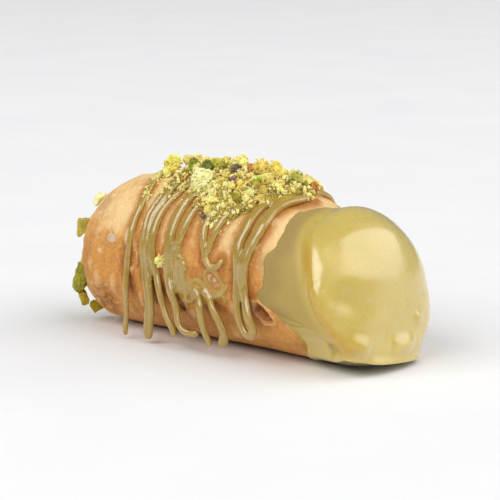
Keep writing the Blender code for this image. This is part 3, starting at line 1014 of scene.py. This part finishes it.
# The grid that the bed is made on: its step along and its angles and their step in degrees
BED_STEP = 0.26
BED_TURN = (-50, 54, 0.86)
# How far the bed's and the web's underside reach below the dough
BED_UNDER = 0.8
WEB_UNDER = 0.7
# How far round the roll the nuts go on the near and the far side: station, degrees
BED_NEAR = (
    (-16.5, 4), (-14, 9), (-11, 16), (-8, 24), (-5, 32), (-2, 40), (1, 47), (4, 51), (7, 47),
    (10, 38), (13, 28), (16, 15), (17.8, 5),
)
BED_FAR = (
    (-16.5, 4), (-13, 24), (-8, 38), (-3, 45), (3, 47), (8, 43), (13, 32), (16, 18), (17.8, 5),
)
# Colours of the chopped nuts as red, green, blue and how often each comes
NUT_COLOURS = (
    (255, 235, 166, 20), (252, 224, 138, 26), (240, 211, 124, 22), (216, 191, 102, 11),
    (188, 162, 66, 8), (146, 134, 44, 6), (122, 116, 38, 3), (246, 198, 88, 2), (104, 70, 74, 1),
    (178, 118, 68, 2),
)


def nut_palette():
    """The nut colours as linear values, and the share of pieces that has each."""
    colours = np.array([linear(*entry[:3])[:3] for entry in NUT_COLOURS])
    shares = np.array([entry[3] for entry in NUT_COLOURS], float)
    return colours, shares / shares.sum()


def bed_reach(station, angle):
    """0 along the top of the bed of nuts, 1 at its outline, more outside it."""
    degrees = np.degrees(turn(angle))
    near = np.interp(station, *np.array(BED_NEAR).T)
    far = np.interp(station, *np.array(BED_FAR).T)
    beyond = np.maximum(np.maximum(BED_REAR - station, station - BED_FRONT), 0)
    return np.hypot(np.abs(degrees) / np.where(degrees > 0, near, far), beyond)


def bed_top(station, angle):
    """Points on the bed's surface, with the roll's outward direction, and the bed's depth."""
    base, _ = dough(station, angle)
    reach = bed_reach(station, angle)
    middle = clamped(1 - reach ** 2.4) ** 0.7
    lumps = 0.9 * bubbles(base, 2.6, 0.8, 1.5, 0.75, 130)
    lumps = lumps + 0.8 * bubbles(base, 1.2, 0.3, 0.7, 0.8, 131)
    depth = BED_RISE * middle + lumps * (0.2 + 0.8 * middle) + 0.1 * noise(base, 0.5, 133)
    depth = depth + 0.55 * middle * noise(base, 3.4, 134)
    depth = depth - 1.2 * smooth_step(0.92, 1.08, reach)
    return base, outward_at(angle), depth


def make_bed(material):
    """The heap's core of fine bits that the separate pieces lie on, darker as painted shade in the
    gaps.
    """
    stations = np.arange(BED_REAR - 0.5, BED_FRONT + 0.5, BED_STEP)
    angles = np.radians(np.arange(*BED_TURN))
    station, angle = np.meshgrid(stations, angles, indexing="ij")
    base, out, depth = bed_top(station, angle)
    points, faces = slab(base, out, depth, BED_UNDER)
    piece = make_piece("nut_bed", points, faces, smooth=False)
    colours, shares = nut_palette()
    cell = np.floor(points / 0.8).astype(np.int64)
    pick = np.searchsorted(np.cumsum(shares), lattice(cell, 140) * 0.999)
    # Darker and browner than the pieces: painted shade for the gaps between them
    shade = (0.3 + 0.25 * lattice(cell, 141))[:, None] * np.array([1, 0.86, 0.40])
    store(piece, "tint", colours[pick] * shade)
    outward(piece)
    show(piece, "nuts", material, "nut_topping")


def ball(level):
    """Points and triangles of a ball of radius 1."""
    body = bmesh.new()
    bmesh.ops.create_icosphere(body, subdivisions=level, radius=1)
    points = np.array([vertex.co for vertex in body.verts])
    faces = np.array([[vertex.index for vertex in face.verts] for face in body.faces])
    body.free()
    return points, faces


def directions(random, count):
    return unit(random.normal(size=(count, 3)))


def chopped(points, random, cuts, shape, crumbly):
    """A ball cut flat on random sides, roughened and squeezed to a shape."""
    piece = points.copy()
    for direction in directions(random, cuts):
        past = piece @ direction - random.uniform(0.5, 0.85)
        piece -= np.clip(past, 0, None)[:, None] * direction
    place_at = piece + random.uniform(10, 90, 3)
    lumps = waves(place_at, ((0.7, 0.5, 110), (0.5, 0.22, 111)))
    piece *= (1 + crumbly * (2 * lumps + 0.5 * random.normal(size=len(piece))))[:, None]
    piece *= shape
    return piece / np.abs(piece).max()


def rotations(random, first):
    """Random turns as 3 by 3 matrices that bring the longest side to given directions."""
    second = unit(np.cross(first, directions(random, len(first))))
    return np.stack([first, second, np.cross(first, second)], axis=1)


# How many different shapes the pieces of one mesh have
KINDS = 16


def scatter_pieces(name, places, sizes, tints, cut, random, material, *nodes, axes=None):
    """One mesh of chopped pieces of given sizes at given places.

    The cut gives the ball's level, the number of flat sides, the crumbliness and the range of
    the pieces' width as a share of their length.
    """
    level, cuts, crumbly, narrow, wide = cut
    base, triangles = ball(level)
    kinds = []
    for _ in range(KINDS):
        shape = np.array([1, random.uniform(narrow, wide), random.uniform(narrow, wide) * 0.8])
        kinds.append(chopped(base, random, cuts, shape, crumbly))
    kinds = np.array(kinds)
    count = len(places)
    pick = random.integers(0, len(kinds), count)
    if axes is None:
        axes = directions(random, count)
    turned = np.einsum("nvk,nkj->nvj", kinds[pick], rotations(random, axes))
    points = places[:, None] + turned * sizes[:, None, None]
    points[..., 2] = np.maximum(points[..., 2], 0)
    skin = smooth_step(0.25, 0.55, kinds[pick][..., 2])[..., None]
    cloudy = 0.22 * noise(points, 0.9, 112)[..., None]
    shade = 1.2 + cloudy + 0.04 * random.normal(size=(count, len(base), 1))
    colour = tints[:, None] * shade * (1 - skin * np.array([0.35, 0.22, 0.45]))
    faces = triangles[None] + (np.arange(count) * len(base))[:, None, None]
    piece = make_piece(name, points.reshape(-1, 3), faces.reshape(-1, 3).tolist(), smooth=False)
    store(piece, "tint", clamped(colour).reshape(-1, 3))
    show(piece, "nuts", material, *nodes)


def bed_places(random, count, limit, edge_power):
    """Random stations and angles over the bed, out to a limit of its reach."""
    stations = []
    angles = []
    while len(stations) < count:
        station = random.uniform(BED_REAR - 1.5, BED_FRONT + 1.5)
        angle = math.radians(random.uniform(-58, 66))
        reach = float(bed_reach(np.array(station), np.array(angle)))
        if reach < limit * random.uniform(0.75, 1) ** edge_power:
            stations.append(station)
            angles.append(angle)
    return np.array(stations), np.array(angles)


def on_bed(station, angle, sizes):
    """Middle points of pieces of given sizes lying on the bed or, outside it, on the dough."""
    base, out, depth = bed_top(station, angle)
    return base + out * (np.maximum(depth, 0) + 0.35 * sizes)[:, None]


def strand_places(random, strands, count, low, high):
    """Random places on top of strands, denser towards their start at the top of the roll."""
    places = []
    for start_width, end_width, on_dough, hanging in strands:
        middle, out = strand_path(on_dough, hanging)
        width = start_width + (end_width - start_width) * np.linspace(0, 1, len(middle))
        degrees = np.degrees(np.arctan2(-middle[:, 1], middle[:, 2] - AXIS_HEIGHT))
        patches = 0.25 + smooth_step(-0.1, 0.5, noise(middle, 2.2, 113))
        chance = smooth_step(high, low, degrees) * (degrees > -20) * patches
        if chance.sum() == 0:
            continue
        pick = random.choice(len(middle), count, p=chance / chance.sum())
        ahead = np.gradient(middle, axis=0)[pick]
        side = unit(np.cross(ahead, out[pick]))
        away = random.uniform(-0.55, 0.55, count)
        rise = 0.50 * width[pick] * np.sqrt(np.clip(1 - 3 * away ** 2, 0.1, 1))
        aside = side * (away * width[pick])[:, None]
        places.append(middle[pick] + aside + out[pick] * rise[:, None])
    return np.concatenate(places)


def crumb_places(random, middles, sizes, count):
    """Random places on the skins of larger pieces, and which piece each lies on."""
    pick = random.choice(len(middles), count, p=sizes ** 2 / (sizes ** 2).sum())
    return middles[pick] + directions(random, count) * (sizes[pick] * 0.72)[:, None], pick


def dough_places(random, count, rear, front, low, high):
    """Random places lying on the dough between two stations, densest at the low angle."""
    station = random.uniform(rear, front, count)
    angle = np.radians(low + (high - low) * random.uniform(0, 1, count) ** 1.6)
    points, _ = dough(station, angle)
    return points


# Single pieces that stand out: station, degrees, size, lift above the bed and colour
FEATURE_NUTS = (
    (-19, 8, 1.5, 1.6, (250, 222, 104)), (-18.3, 7, 1.3, 3.2, (252, 228, 116)),
    (-17.5, 9, 1.2, 1.3, (240, 210, 104)), (-20.3, 8, 1.3, 1.4, (244, 210, 100)),
    (-19.7, 5, 1.3, 3.1, (250, 228, 124)), (-19.2, 12, 1.2, 1.1, (252, 234, 140)),
    (-17.6, 6, 0.9, 2.4, (252, 234, 140)), (-20.6, 7, 0.9, 2.5, (246, 216, 110)),
    (-4.7, 2, 1.3, 0.9, (232, 204, 104)), (-1, 1, 1.8, 0.8, (240, 222, 130)),
    (-2.1, 3, 1.2, 0.6, (244, 230, 150)), (5.3, 3, 2.1, 1.7, (230, 204, 108)),
    (7.6, -1, 2, 1.9, (236, 214, 124)), (8.8, 1, 1.6, 1.8, (230, 202, 98)),
    (4, -2, 1.7, 1.2, (234, 212, 118)), (9.9, 2, 1.4, 0.6, (218, 188, 86)),
    (14.7, 1, 1.6, 0.6, (176, 172, 84)), (-11.4, 9, 1.7, 0.4, (120, 134, 44)),
    (-8, 8, 1.6, 0.4, (86, 98, 38)), (-6.4, 4, 1.9, 0.5, (186, 188, 70)),
    (0.1, 8, 1.5, 0.4, (104, 76, 88)), (3, 4, 1.3, 0.4, (190, 124, 78)),
    (-5.6, 21, 2.7, 0.5, (250, 238, 172)), (-6.8, 18, 1.8, 0.5, (250, 240, 180)),
    (-4.6, 24, 1.5, 0.4, (250, 238, 172)), (8.4, 15, 1.7, 0.4, (178, 186, 58)),
    (9.2, 24, 1.5, 0.4, (218, 214, 140)), (1, 44, 1, 0.3, (98, 70, 82)),
    (0.2, 45, 0.8, 0.3, (110, 80, 88)), (2.8, 19, 1.2, 0.3, (122, 92, 88)),
)
# The clump on the third strand and the crumbs over the far end of the last one: station,
# degrees and size
CLUMPS = (
    (-9.9, 80, 1), (-9.2, 78, 1), (-9.7, 77, 0.8), (-9.2, 81, 0.9), (-8.8, 79.5, 0.7),
    (-10.2, 82, 0.7), (-9.5, 79, 1.2), (-9, 76, 0.5), (-9.9, 76, 0.5), (-10.5, 80, 0.5),
    (-8.5, 81, 0.5), (-9.6, 83, 0.6), (-10.2, 78, 0.7), (-8.5, 78, 0.5), (-9.2, 83, 0.5),
    (18.6, 4, 0.5), (18, 2, 0.6), (19, 6, 0.35), (17.5, 5, 0.5), (18.9, 1, 0.4),
    (18.3, 7, 0.3), (17.8, 0, 0.55), (19.3, 3, 0.3),
)


def pick_tints(random, count, evenness=1):
    """Random nut colours; above 1, an evenness leaves fewer of the rarer ones."""
    colours, shares = nut_palette()
    shares = shares ** evenness
    return colours[random.choice(len(colours), count, p=shares / shares.sum())]


# How each kind of piece is cut: ball level, flat sides, crumbliness, least and most width
COARSE = (3, 9, 0.12, 0.65, 1)
MEDIUM = (2, 7, 0.14, 0.6, 1)
FINE = (1, 4, 0.16, 0.5, 0.95)
SHARD = (4, 12, 0.07, 0.55, 0.8)


def strewn(random, count, low, high, limit, edge_power, rise):
    """Random pieces that lie over the bed: their places and sizes."""
    station, angle = bed_places(random, count, limit, edge_power)
    sizes = random.uniform(low, high, count)
    return on_bed(station, angle, sizes * rise), sizes


# The strands that nuts fell on
STREWN_STRANDS = NEAR_STRANDS[:7]
# Pieces over the bed: how many, least and greatest size, how far out as a share of the bed's
# reach, how thinly towards there, and how high they lie
STREWN_COARSE = (110, 0.8, 1.7, 0.94, 0.5, 0.7)
STREWN_MEDIUM = (420, 0.4, 0.9, 1.04, 0.5, 1)
STREWN_FINE = (1700, 0.18, 0.42, 1.12, 2, 1)
STREWN_DUST = (3600, 0.08, 0.22, 1.3, 3, 1)
CLINGING = 3200
FEATURE_SCALE = 1.12


def make_nuts(material):
    """The heap of nuts, from the largest pieces to the dust."""
    random = np.random.default_rng(11)
    feature = np.array([entry[:4] for entry in FEATURE_NUTS])
    tints = np.array([linear(*entry[4])[:3] for entry in FEATURE_NUTS])
    places = on_bed(feature[:, 0], np.radians(feature[:, 1]), feature[:, 3] / 0.35)
    bed, bed_sizes = strewn(random, *STREWN_COARSE)
    big_places = np.concatenate([places, bed])
    big_sizes = np.concatenate([feature[:, 2] * FEATURE_SCALE, bed_sizes])
    big_tints = np.concatenate([tints, pick_tints(random, len(bed), 1.4)])
    scatter_pieces("nuts_coarse", big_places, big_sizes, big_tints, COARSE, random, material)

    station, degrees, clump_sizes = np.array(CLUMPS).T
    angle = np.radians(degrees)
    clumps, _ = dough(station, angle)
    clumps = clumps + outward_at(angle) * (0.5 + clump_sizes * 0.6)[:, None]
    bed, bed_sizes = strewn(random, *STREWN_MEDIUM)
    places = np.concatenate([bed, clumps])
    sizes = np.concatenate([bed_sizes, clump_sizes])
    tints = pick_tints(random, len(sizes), 1.3)
    scatter_pieces("nuts_medium", places, sizes, tints, MEDIUM, random, material)

    bed, bed_sizes = strewn(random, *STREWN_FINE)
    lying = strand_places(random, STREWN_STRANDS, 115, 0, 50)
    spilled = dough_places(random, 170, -22, -12, -10, 44)
    clinging, host = crumb_places(random, big_places, big_sizes, CLINGING)
    loose = np.concatenate([lying, spilled, clinging])
    places = np.concatenate([bed, loose])
    sizes = np.concatenate([bed_sizes, random.uniform(0.16, 0.5, len(loose))])
    own_tints = pick_tints(random, len(sizes) - len(host), 1.6)
    like_host = big_tints[host] * random.uniform(0.75, 1.1, (len(host), 1))
    tints = np.concatenate([own_tints, like_host])
    scatter_pieces("nuts_fine", places, sizes, tints, FINE, random, material)

    bed, bed_sizes = strewn(random, *STREWN_DUST)
    lying = strand_places(random, STREWN_STRANDS, 150, -5, 60)
    low_down = strand_places(random, STREWN_STRANDS, 14, 30, 120)
    spilled = dough_places(random, 300, -23, -11, -10, 52)
    loose = np.concatenate([lying, low_down, spilled])
    places = np.concatenate([bed, loose])
    sizes = np.concatenate([bed_sizes, random.uniform(0.07, 0.2, len(loose))])
    tints = pick_tints(random, len(sizes), 2)
    scatter_pieces("nut_dust", places, sizes, tints, FINE, random, material)


# ---------------------------------------------------------------- cream and rear nuts

CREAM_FACE = -34.6
CREAM_SIDES = 120
# The cream's depth below the roll's outside, how many rings its face has, and where the rings
# behind the face lie
CREAM_DEPTH = WALL + 0.15
CREAM_RINGS = 46
CREAM_STATIONS = (-30, -20, 0, 18, 31)


def make_cream(material):
    """The ricotta filling: a full bore of cream with a softly smeared face at the rear."""
    angles = ring_angles(CREAM_SIDES)
    rings = []
    for reach in np.linspace(0.04, 1, CREAM_RINGS):
        radius = (plain_radius(np.full_like(angles, CREAM_FACE), angles) - CREAM_DEPTH) * reach
        ring = place(CREAM_FACE - 1.5 * (1 - reach ** 3), angles, radius)
        swirl = waves(ring, ((0.5, 4.5, 150), (0.25, 1.6, 151)))
        ring[:, 0] += (swirl + 0.08 * noise(ring, 0.6, 152)) * (1 - reach ** 6)
        rings.append(ring)
    rings += [bore_ring(where, angles, CREAM_DEPTH) for where in CREAM_STATIONS]
    ends = (CREAM_FACE - 1.6, CREAM_STATIONS[-1])
    centres = np.array([[station, 0, AXIS_HEIGHT] for station in ends])
    points = np.concatenate([*rings, centres])
    faces = ring_faces(len(rings), CREAM_SIDES).tolist()
    faces += fan(0, CREAM_SIDES, len(points) - 2, flipped=True)
    faces += fan((len(rings) - 1) * CREAM_SIDES, CREAM_SIDES, len(points) - 1)
    piece = make_piece("ricotta_cream", points, faces)
    outward(piece)
    show(piece, "filling", material, "filling")


# Larger pieces pressed into the cream: how far behind the rim, across, height, half length,
# lean of the length from upright in degrees and colour
REAR_NUTS = (
    (2, -13.2, 10.6, 3.6, 6, (132, 128, 34)), (1.9, -12.2, 6, 2.8, -30, (172, 150, 40)),
    (1.9, -8.2, 3, 2.7, -70, (184, 166, 46)), (1.2, -12.6, 22.2, 2.8, 12, (158, 146, 60)),
    (1.1, -7.4, 27.6, 2.2, 60, (236, 230, 170)), (3, -8.6, 13.4, 2.9, 60, (172, 176, 66)),
    (2.6, -7.2, 20.4, 2.7, -30, (196, 190, 84)), (2, -1.8, 26, 2.6, 80, (150, 156, 54)),
    (3.6, 0.2, 17, 3, 15, (214, 202, 100)), (3, 0.4, 9, 2.8, -65, (128, 138, 44)),
    (1.8, 1.4, 4.4, 2.2, 85, (202, 190, 88)), (2.3, 6.2, 23.4, 2.6, -40, (206, 196, 96)),
    (3.2, 7.2, 13.6, 2.8, 35, (160, 164, 60)), (2.3, 6.8, 6.8, 2.4, -20, (176, 172, 60)),
    (1.8, 11.2, 18.6, 2.4, 5, (142, 150, 52)), (1.9, 11, 10.2, 2.3, -12, (210, 198, 92)),
)


# How many crumbs lie between them and how far from the axis
REAR_CRUMBS = 620
REAR_REACH = 13.2


def make_rear_nuts(material):
    """The pieces and crumbs of pistachio that stick to the cream."""
    random = np.random.default_rng(23)
    behind, across, height, size, lean = np.array([entry[:5] for entry in REAR_NUTS]).T
    tints = np.array([linear(*entry[5])[:3] for entry in REAR_NUTS])
    places = np.stack([REAR_RIM - behind, across, height], axis=-1)
    lean = np.radians(lean)
    axes = unit(np.stack([0.15 + 0 * lean, np.sin(lean), np.cos(lean)], axis=-1))
    scatter_pieces("rear_nut_pieces", places, size, tints, SHARD, random, material, "rear_nuts",
                   axes=axes)
    count = REAR_CRUMBS
    turns = random.uniform(0, math.tau, count)
    reach = np.sqrt(random.uniform(0.02, 1, count)) * REAR_REACH
    small = np.stack([
        CREAM_FACE - 1.1 - 1.2 * random.uniform(0, 1, count),
        reach * np.cos(turns),
        AXIS_HEIGHT + reach * np.sin(turns),
    ], axis=-1)
    sizes = 0.12 + 0.8 * random.uniform(0, 1, count) ** 1.8
    scatter_pieces("rear_nut_crumbs", small, sizes, pick_tints(random, count), MEDIUM, random,
                   material)


# ---------------------------------------------------------------- materials

def linear(red, green, blue):
    """A colour given as 0 to 255 in each channel, as the linear values that shaders use."""
    values = np.array([red, green, blue]) / 255
    low = values / 12.92
    high = ((values + 0.055) / 1.055) ** 2.4
    return (*np.where(values <= 0.04045, low, high).tolist(), 1)


class Nodes:
    """A material's node tree, with short ways to add nodes.

    An input can be given as a value or as another node's output.
    """

    def __init__(self, name):
        self.material = bpy.data.materials.new(name)
        self.material.use_nodes = True
        self.tree = self.material.node_tree
        self.shader = self.tree.nodes["Principled BSDF"]
        self.place = self.add("TexCoord", {}).outputs["Object"]

    def fill(self, socket, value):
        if isinstance(value, bpy.types.NodeSocket):
            self.tree.links.new(value, socket)
        else:
            socket.default_value = value

    def add(self, kind, inputs, **settings):
        node = self.tree.nodes.new("ShaderNode" + kind)
        for key, value in settings.items():
            setattr(node, key, value)
        for key, value in inputs.items():
            self.fill(node.inputs[key], value)
        return node

    def set(self, **inputs):
        """Fills inputs of the shader, written with _ for each space."""
        for key, value in inputs.items():
            self.fill(self.shader.inputs[key.replace("_", " ")], value)

    def noise(self, size_mm, detail=2, roughness=0.5):
        inputs = {"Scale": 1 / (size_mm * MM), "Detail": detail, "Roughness": roughness,
                  "Vector": self.place}
        return self.add("TexNoise", inputs).outputs["Fac"]

    def cells(self, size_mm):
        inputs = {"Scale": 1 / (size_mm * MM), "Vector": self.place}
        return self.add("TexVoronoi", inputs).outputs["Distance"]

    def ramp(self, value, low, high, from_value=0, to_value=1):
        inputs = {"Value": value, "From Min": low, "From Max": high, "To Min": from_value,
                  "To Max": to_value}
        return self.add("MapRange", inputs, interpolation_type="SMOOTHSTEP").outputs["Result"]

    def maths(self, operation, first, second):
        return self.add("Math", {0: first, 1: second}, operation=operation).outputs["Value"]

    def mix(self, share, first, second):
        """A colour between two, each a colour or an output."""
        inputs = {"Factor": share, 6: first, 7: second}
        return self.add("Mix", inputs, data_type="RGBA").outputs[2]

    def attribute(self, name, output="Fac"):
        return self.add("Attribute", {}, attribute_name=name).outputs[output]

    def bump(self, height, depth_mm):
        inputs = {"Strength": 1, "Distance": depth_mm * MM, "Height": height}
        self.set(Normal=self.add("Bump", inputs).outputs["Normal"])

    def scatter(self, weight, radius_mm):
        """Light that enters the food and comes out near by, by colour."""
        self.set(Subsurface_Weight=weight, Subsurface_Radius=radius_mm, Subsurface_Scale=MM)


def dough_material():
    nodes = Nodes("fried_dough")
    marks = nodes.add("SeparateColor", {"Color": nodes.attribute("marks", "Color")})
    tone, pale, brown = marks.outputs
    deep = nodes.mix(nodes.ramp(tone, 0, 0.5), linear(174, 98, 24), linear(208, 142, 62))
    gold = nodes.mix(nodes.ramp(tone, 0.5, 1), deep, linear(246, 212, 152))
    grain = nodes.ramp(nodes.noise(0.7, 5, 0.7), 0.35, 0.7, 0, 0.45)
    mottled = nodes.mix(grain, gold, linear(238, 186, 112))
    dots = nodes.mix(nodes.ramp(nodes.noise(0.32, 2), 0.62, 0.76, 0, 0.35), mottled,
                     linear(168, 92, 34))
    browned = nodes.mix(nodes.ramp(brown, 0.7, 1), linear(140, 72, 14), linear(84, 42, 12))
    fried = nodes.mix(brown, dots, browned)
    patches = nodes.ramp(nodes.noise(5, 2), 0.42, 0.62)
    specks = nodes.maths("MULTIPLY", nodes.ramp(nodes.cells(0.9), 0.10, 0.28, 0.5, 0), patches)
    speckled = nodes.mix(specks, fried, linear(244, 214, 164))
    whitish = nodes.mix(nodes.ramp(pale, 0.75, 1), linear(240, 208, 156), linear(216, 200, 180))
    light = nodes.mix(pale, speckled, whitish)
    nodes.set(Base_Color=light)
    nodes.set(Roughness=nodes.ramp(nodes.noise(2, 3), 0.3, 0.7, 0.38, 0.58))
    fine = nodes.maths("MULTIPLY", nodes.noise(0.4, 4, 0.6), 1.2)
    height = nodes.maths("ADD", fine, nodes.ramp(nodes.cells(1.1), 0.05, 0.35, 0.7, 0))
    nodes.bump(height, 0.15)
    nodes.set(Specular_IOR_Level=0.32)
    nodes.scatter(0.25, (1.4, 0.7, 0.3))
    return nodes.material


def coating_material(name, colour, thin_colour, gloss):
    """Pistachio coating; gloss is its roughness where thick, where thin, and its coat."""
    thick_roughness, thin_roughness, coat = gloss
    nodes = Nodes(name)
    film = nodes.attribute("film")
    deeper = tuple(0.94 * value for value in colour[:3]) + (1,)
    body = nodes.mix(nodes.ramp(nodes.noise(9, 2), 0.35, 0.65), colour, deeper)
    grain = nodes.mix(nodes.ramp(nodes.noise(0.35, 3), 0.45, 0.75, 0, 0.12), body,
                      linear(228, 210, 140))
    # Painted highlight: the strands' edges are coloured paler
    rim = nodes.ramp(nodes.attribute("rim"), 0, 1, 0, 0.6)
    edge_highlighted = nodes.mix(rim, grain, linear(222, 196, 110))
    thin = nodes.mix(nodes.ramp(film, 0, 1), edge_highlighted, thin_colour)
    # The valley before the ridge: a deeper orange-gold, partly the dough through the thinner coat,
    # partly painted shade and bounce light
    valley_tint_and_shade = nodes.ramp(nodes.attribute("valley_tint_and_shade"), 0, 1, 0, 0.85)
    valley_shaded = nodes.mix(valley_tint_and_shade, thin, linear(196, 156, 34))
    # Painted shade: the underside is coloured darker
    under_shade = nodes.ramp(nodes.attribute("under_shade"), 0, 1, 0, 0.7)
    under_shaded = nodes.mix(under_shade, valley_shaded, tuple(0.45 * value for value in colour[:3]) + (1,))
    nodes.set(Base_Color=under_shaded)
    uneven = nodes.ramp(nodes.noise(3, 2), 0.3, 0.7, 0, 0.05)
    dull = nodes.ramp(film, 0.1, 0.7, thick_roughness, thin_roughness)
    nodes.set(Roughness=nodes.maths("ADD", dull, uneven))
    nodes.bump(nodes.noise(0.9, 2), 0.03)
    dry = nodes.maths("MAXIMUM", film, nodes.attribute("valley_tint_and_shade"))
    # A plain value too, for programs that drop a linked one
    nodes.set(Specular_IOR_Level=0.6)
    nodes.set(Specular_IOR_Level=nodes.ramp(dry, 0, 1, 1, 0.25))
    nodes.set(Coat_Weight=nodes.ramp(film, 0.05, 0.5, coat, 0))
    nodes.set(Coat_Roughness=0.15)
    nodes.scatter(0.6, (2, 1.4, 0.5))
    return nodes.material


def nut_material():
    nodes = Nodes("chopped_pistachio")
    tint = nodes.attribute("tint", "Color")
    mottled = nodes.mix(nodes.ramp(nodes.noise(0.7, 3), 0.35, 0.75, 0, 0.20), tint,
                        linear(246, 224, 140))
    nodes.set(Base_Color=mottled)
    nodes.set(Roughness=nodes.ramp(nodes.noise(1, 2), 0.3, 0.7, 0.5, 0.72))
    nodes.bump(nodes.noise(0.22, 3), 0.06)
    nodes.set(Specular_IOR_Level=0.15)
    nodes.scatter(0.4, (1.1, 0.9, 0.4))
    return nodes.material


def cream_material():
    nodes = Nodes("ricotta")
    body = nodes.mix(nodes.ramp(nodes.noise(2.5, 3), 0.35, 0.7), linear(252, 248, 238),
                     linear(246, 238, 220))
    nodes.set(Base_Color=body)
    nodes.set(Roughness=nodes.ramp(nodes.noise(1.5, 2), 0.3, 0.7, 0.42, 0.6))
    nodes.bump(nodes.noise(0.4, 3), 0.05)
    nodes.scatter(0.6, (2, 1.7, 1.3))
    return nodes.material


# ---------------------------------------------------------------- stage, light and camera

CAMERA_AZIMUTH = math.radians(42)
CAMERA_ELEVATION = math.radians(11)
CAMERA_DISTANCE = 0.46
LENS = 155
SENSOR = 36
FLOOR_HALF = 6
LIGHT_DISTANCE = 3


def aim(item, target):
    item.rotation_euler = (target - item.location).to_track_quat("-Z", "Y").to_euler()


def make_stage():
    """A pale floor that runs on far behind, without an edge in view."""
    mesh = bpy.data.meshes.new("floor")
    turns = ((-1, -1), (1, -1), (1, 1), (-1, 1))
    corners = [(x * FLOOR_HALF, y * FLOOR_HALF, 0) for x, y in turns]
    mesh.from_pydata(corners, [], [(0, 1, 2, 3)])
    floor = bpy.data.objects.new("floor", mesh)
    bpy.context.scene.collection.objects.link(floor)
    nodes = Nodes("pale_floor")
    grain = nodes.ramp(nodes.noise(40, 3), 0.3, 0.7)
    nodes.set(Base_Color=nodes.mix(grain, (0.86, 0.86, 0.87, 1), (0.88, 0.88, 0.885, 1)))
    nodes.set(Roughness=0.9)
    nodes.set(Specular_IOR_Level=0.1)
    mesh.materials.append(nodes.material)


def make_light(name, azimuth, elevation, size, roll, radiance, target):
    """A rectangular softbox that faces the target, rolled about the line to it.

    Azimuths turn from +X towards +Y.
    """
    azimuth, elevation = math.radians(azimuth), math.radians(elevation)
    flat = math.cos(elevation)
    direction = Vector((math.cos(azimuth) * flat, math.sin(azimuth) * flat, math.sin(elevation)))
    data = bpy.data.lights.new(name, "AREA")
    data.shape = "RECTANGLE"
    data.size, data.size_y = size
    data.energy = radiance * math.pi * size[0] * size[1]
    light = bpy.data.objects.new(name, data)
    light.location = target + direction * LIGHT_DISTANCE
    bpy.context.scene.collection.objects.link(light)
    aim(light, target)
    light.rotation_euler.rotate_axis("Z", math.radians(roll))


# Softboxes: name, azimuth, elevation, size in metres, roll and radiance
LIGHTS = (
    ("key_softbox", 30, 43, (5.6, 3.4), -35, 1.7),
    ("left_softbox", 262, 42, (3, 2), 0, 3.2),
)
AIR_COLOUR = (0.98, 0.985, 1, 1)
AIR_STRENGTH = 0.3


def make_lights(target):
    """A large softbox above the dipped end, one above the near side, and pale air all round."""
    for light in LIGHTS:
        make_light(*light, target)
    world = bpy.data.worlds.new("studio")
    world.use_nodes = True
    background = world.node_tree.nodes["Background"]
    background.inputs["Color"].default_value = AIR_COLOUR
    background.inputs["Strength"].default_value = AIR_STRENGTH
    bpy.context.scene.world = world


def make_camera(target):
    """The camera at the height and side from which the dipped end and the near side show."""
    data = bpy.data.cameras.new("camera")
    data.sensor_width = SENSOR
    data.lens = LENS
    data.clip_start = 0.01
    camera = bpy.data.objects.new("camera", data)
    flat = math.cos(CAMERA_ELEVATION)
    direction = Vector((
        math.sin(CAMERA_AZIMUTH) * flat,
        -math.cos(CAMERA_AZIMUTH) * flat,
        math.sin(CAMERA_ELEVATION),
    ))
    camera.location = target + direction * CAMERA_DISTANCE
    bpy.context.scene.collection.objects.link(camera)
    aim(camera, target)
    bpy.context.scene.camera = camera


# Gloss of the coating and the drizzle: roughness where thick, roughness where thin, and coat
COATING_GLOSS = (0.26, 0.6, 1)
DRIZZLE_GLOSS = (0.2, 0.5, 0.85)


def main():
    middle = (Vector(cad_box[0]) + Vector(cad_box[1])) / 2
    make_camera(middle)
    make_stage()
    make_lights(middle)
    bpy.context.scene.view_settings.view_transform = "Standard"
    make_shell(dough_material())
    make_coating(coating_material("pistachio_coating", linear(208, 184, 85), linear(166, 141, 82),
                                  COATING_GLOSS))
    drizzle = coating_material("pistachio_drizzle", linear(170, 138, 34), linear(190, 146, 72),
                               DRIZZLE_GLOSS)
    make_drizzle("drizzle_near", NEAR_STRANDS, [web_slab()], NEAR_VOXEL, drizzle)
    make_drizzle("drizzle_far", FAR_STRANDS, [], FAR_VOXEL, drizzle)
    nuts = nut_material()
    make_bed(nuts)
    make_nuts(nuts)
    make_cream(cream_material())
    make_rear_nuts(nuts)


main()
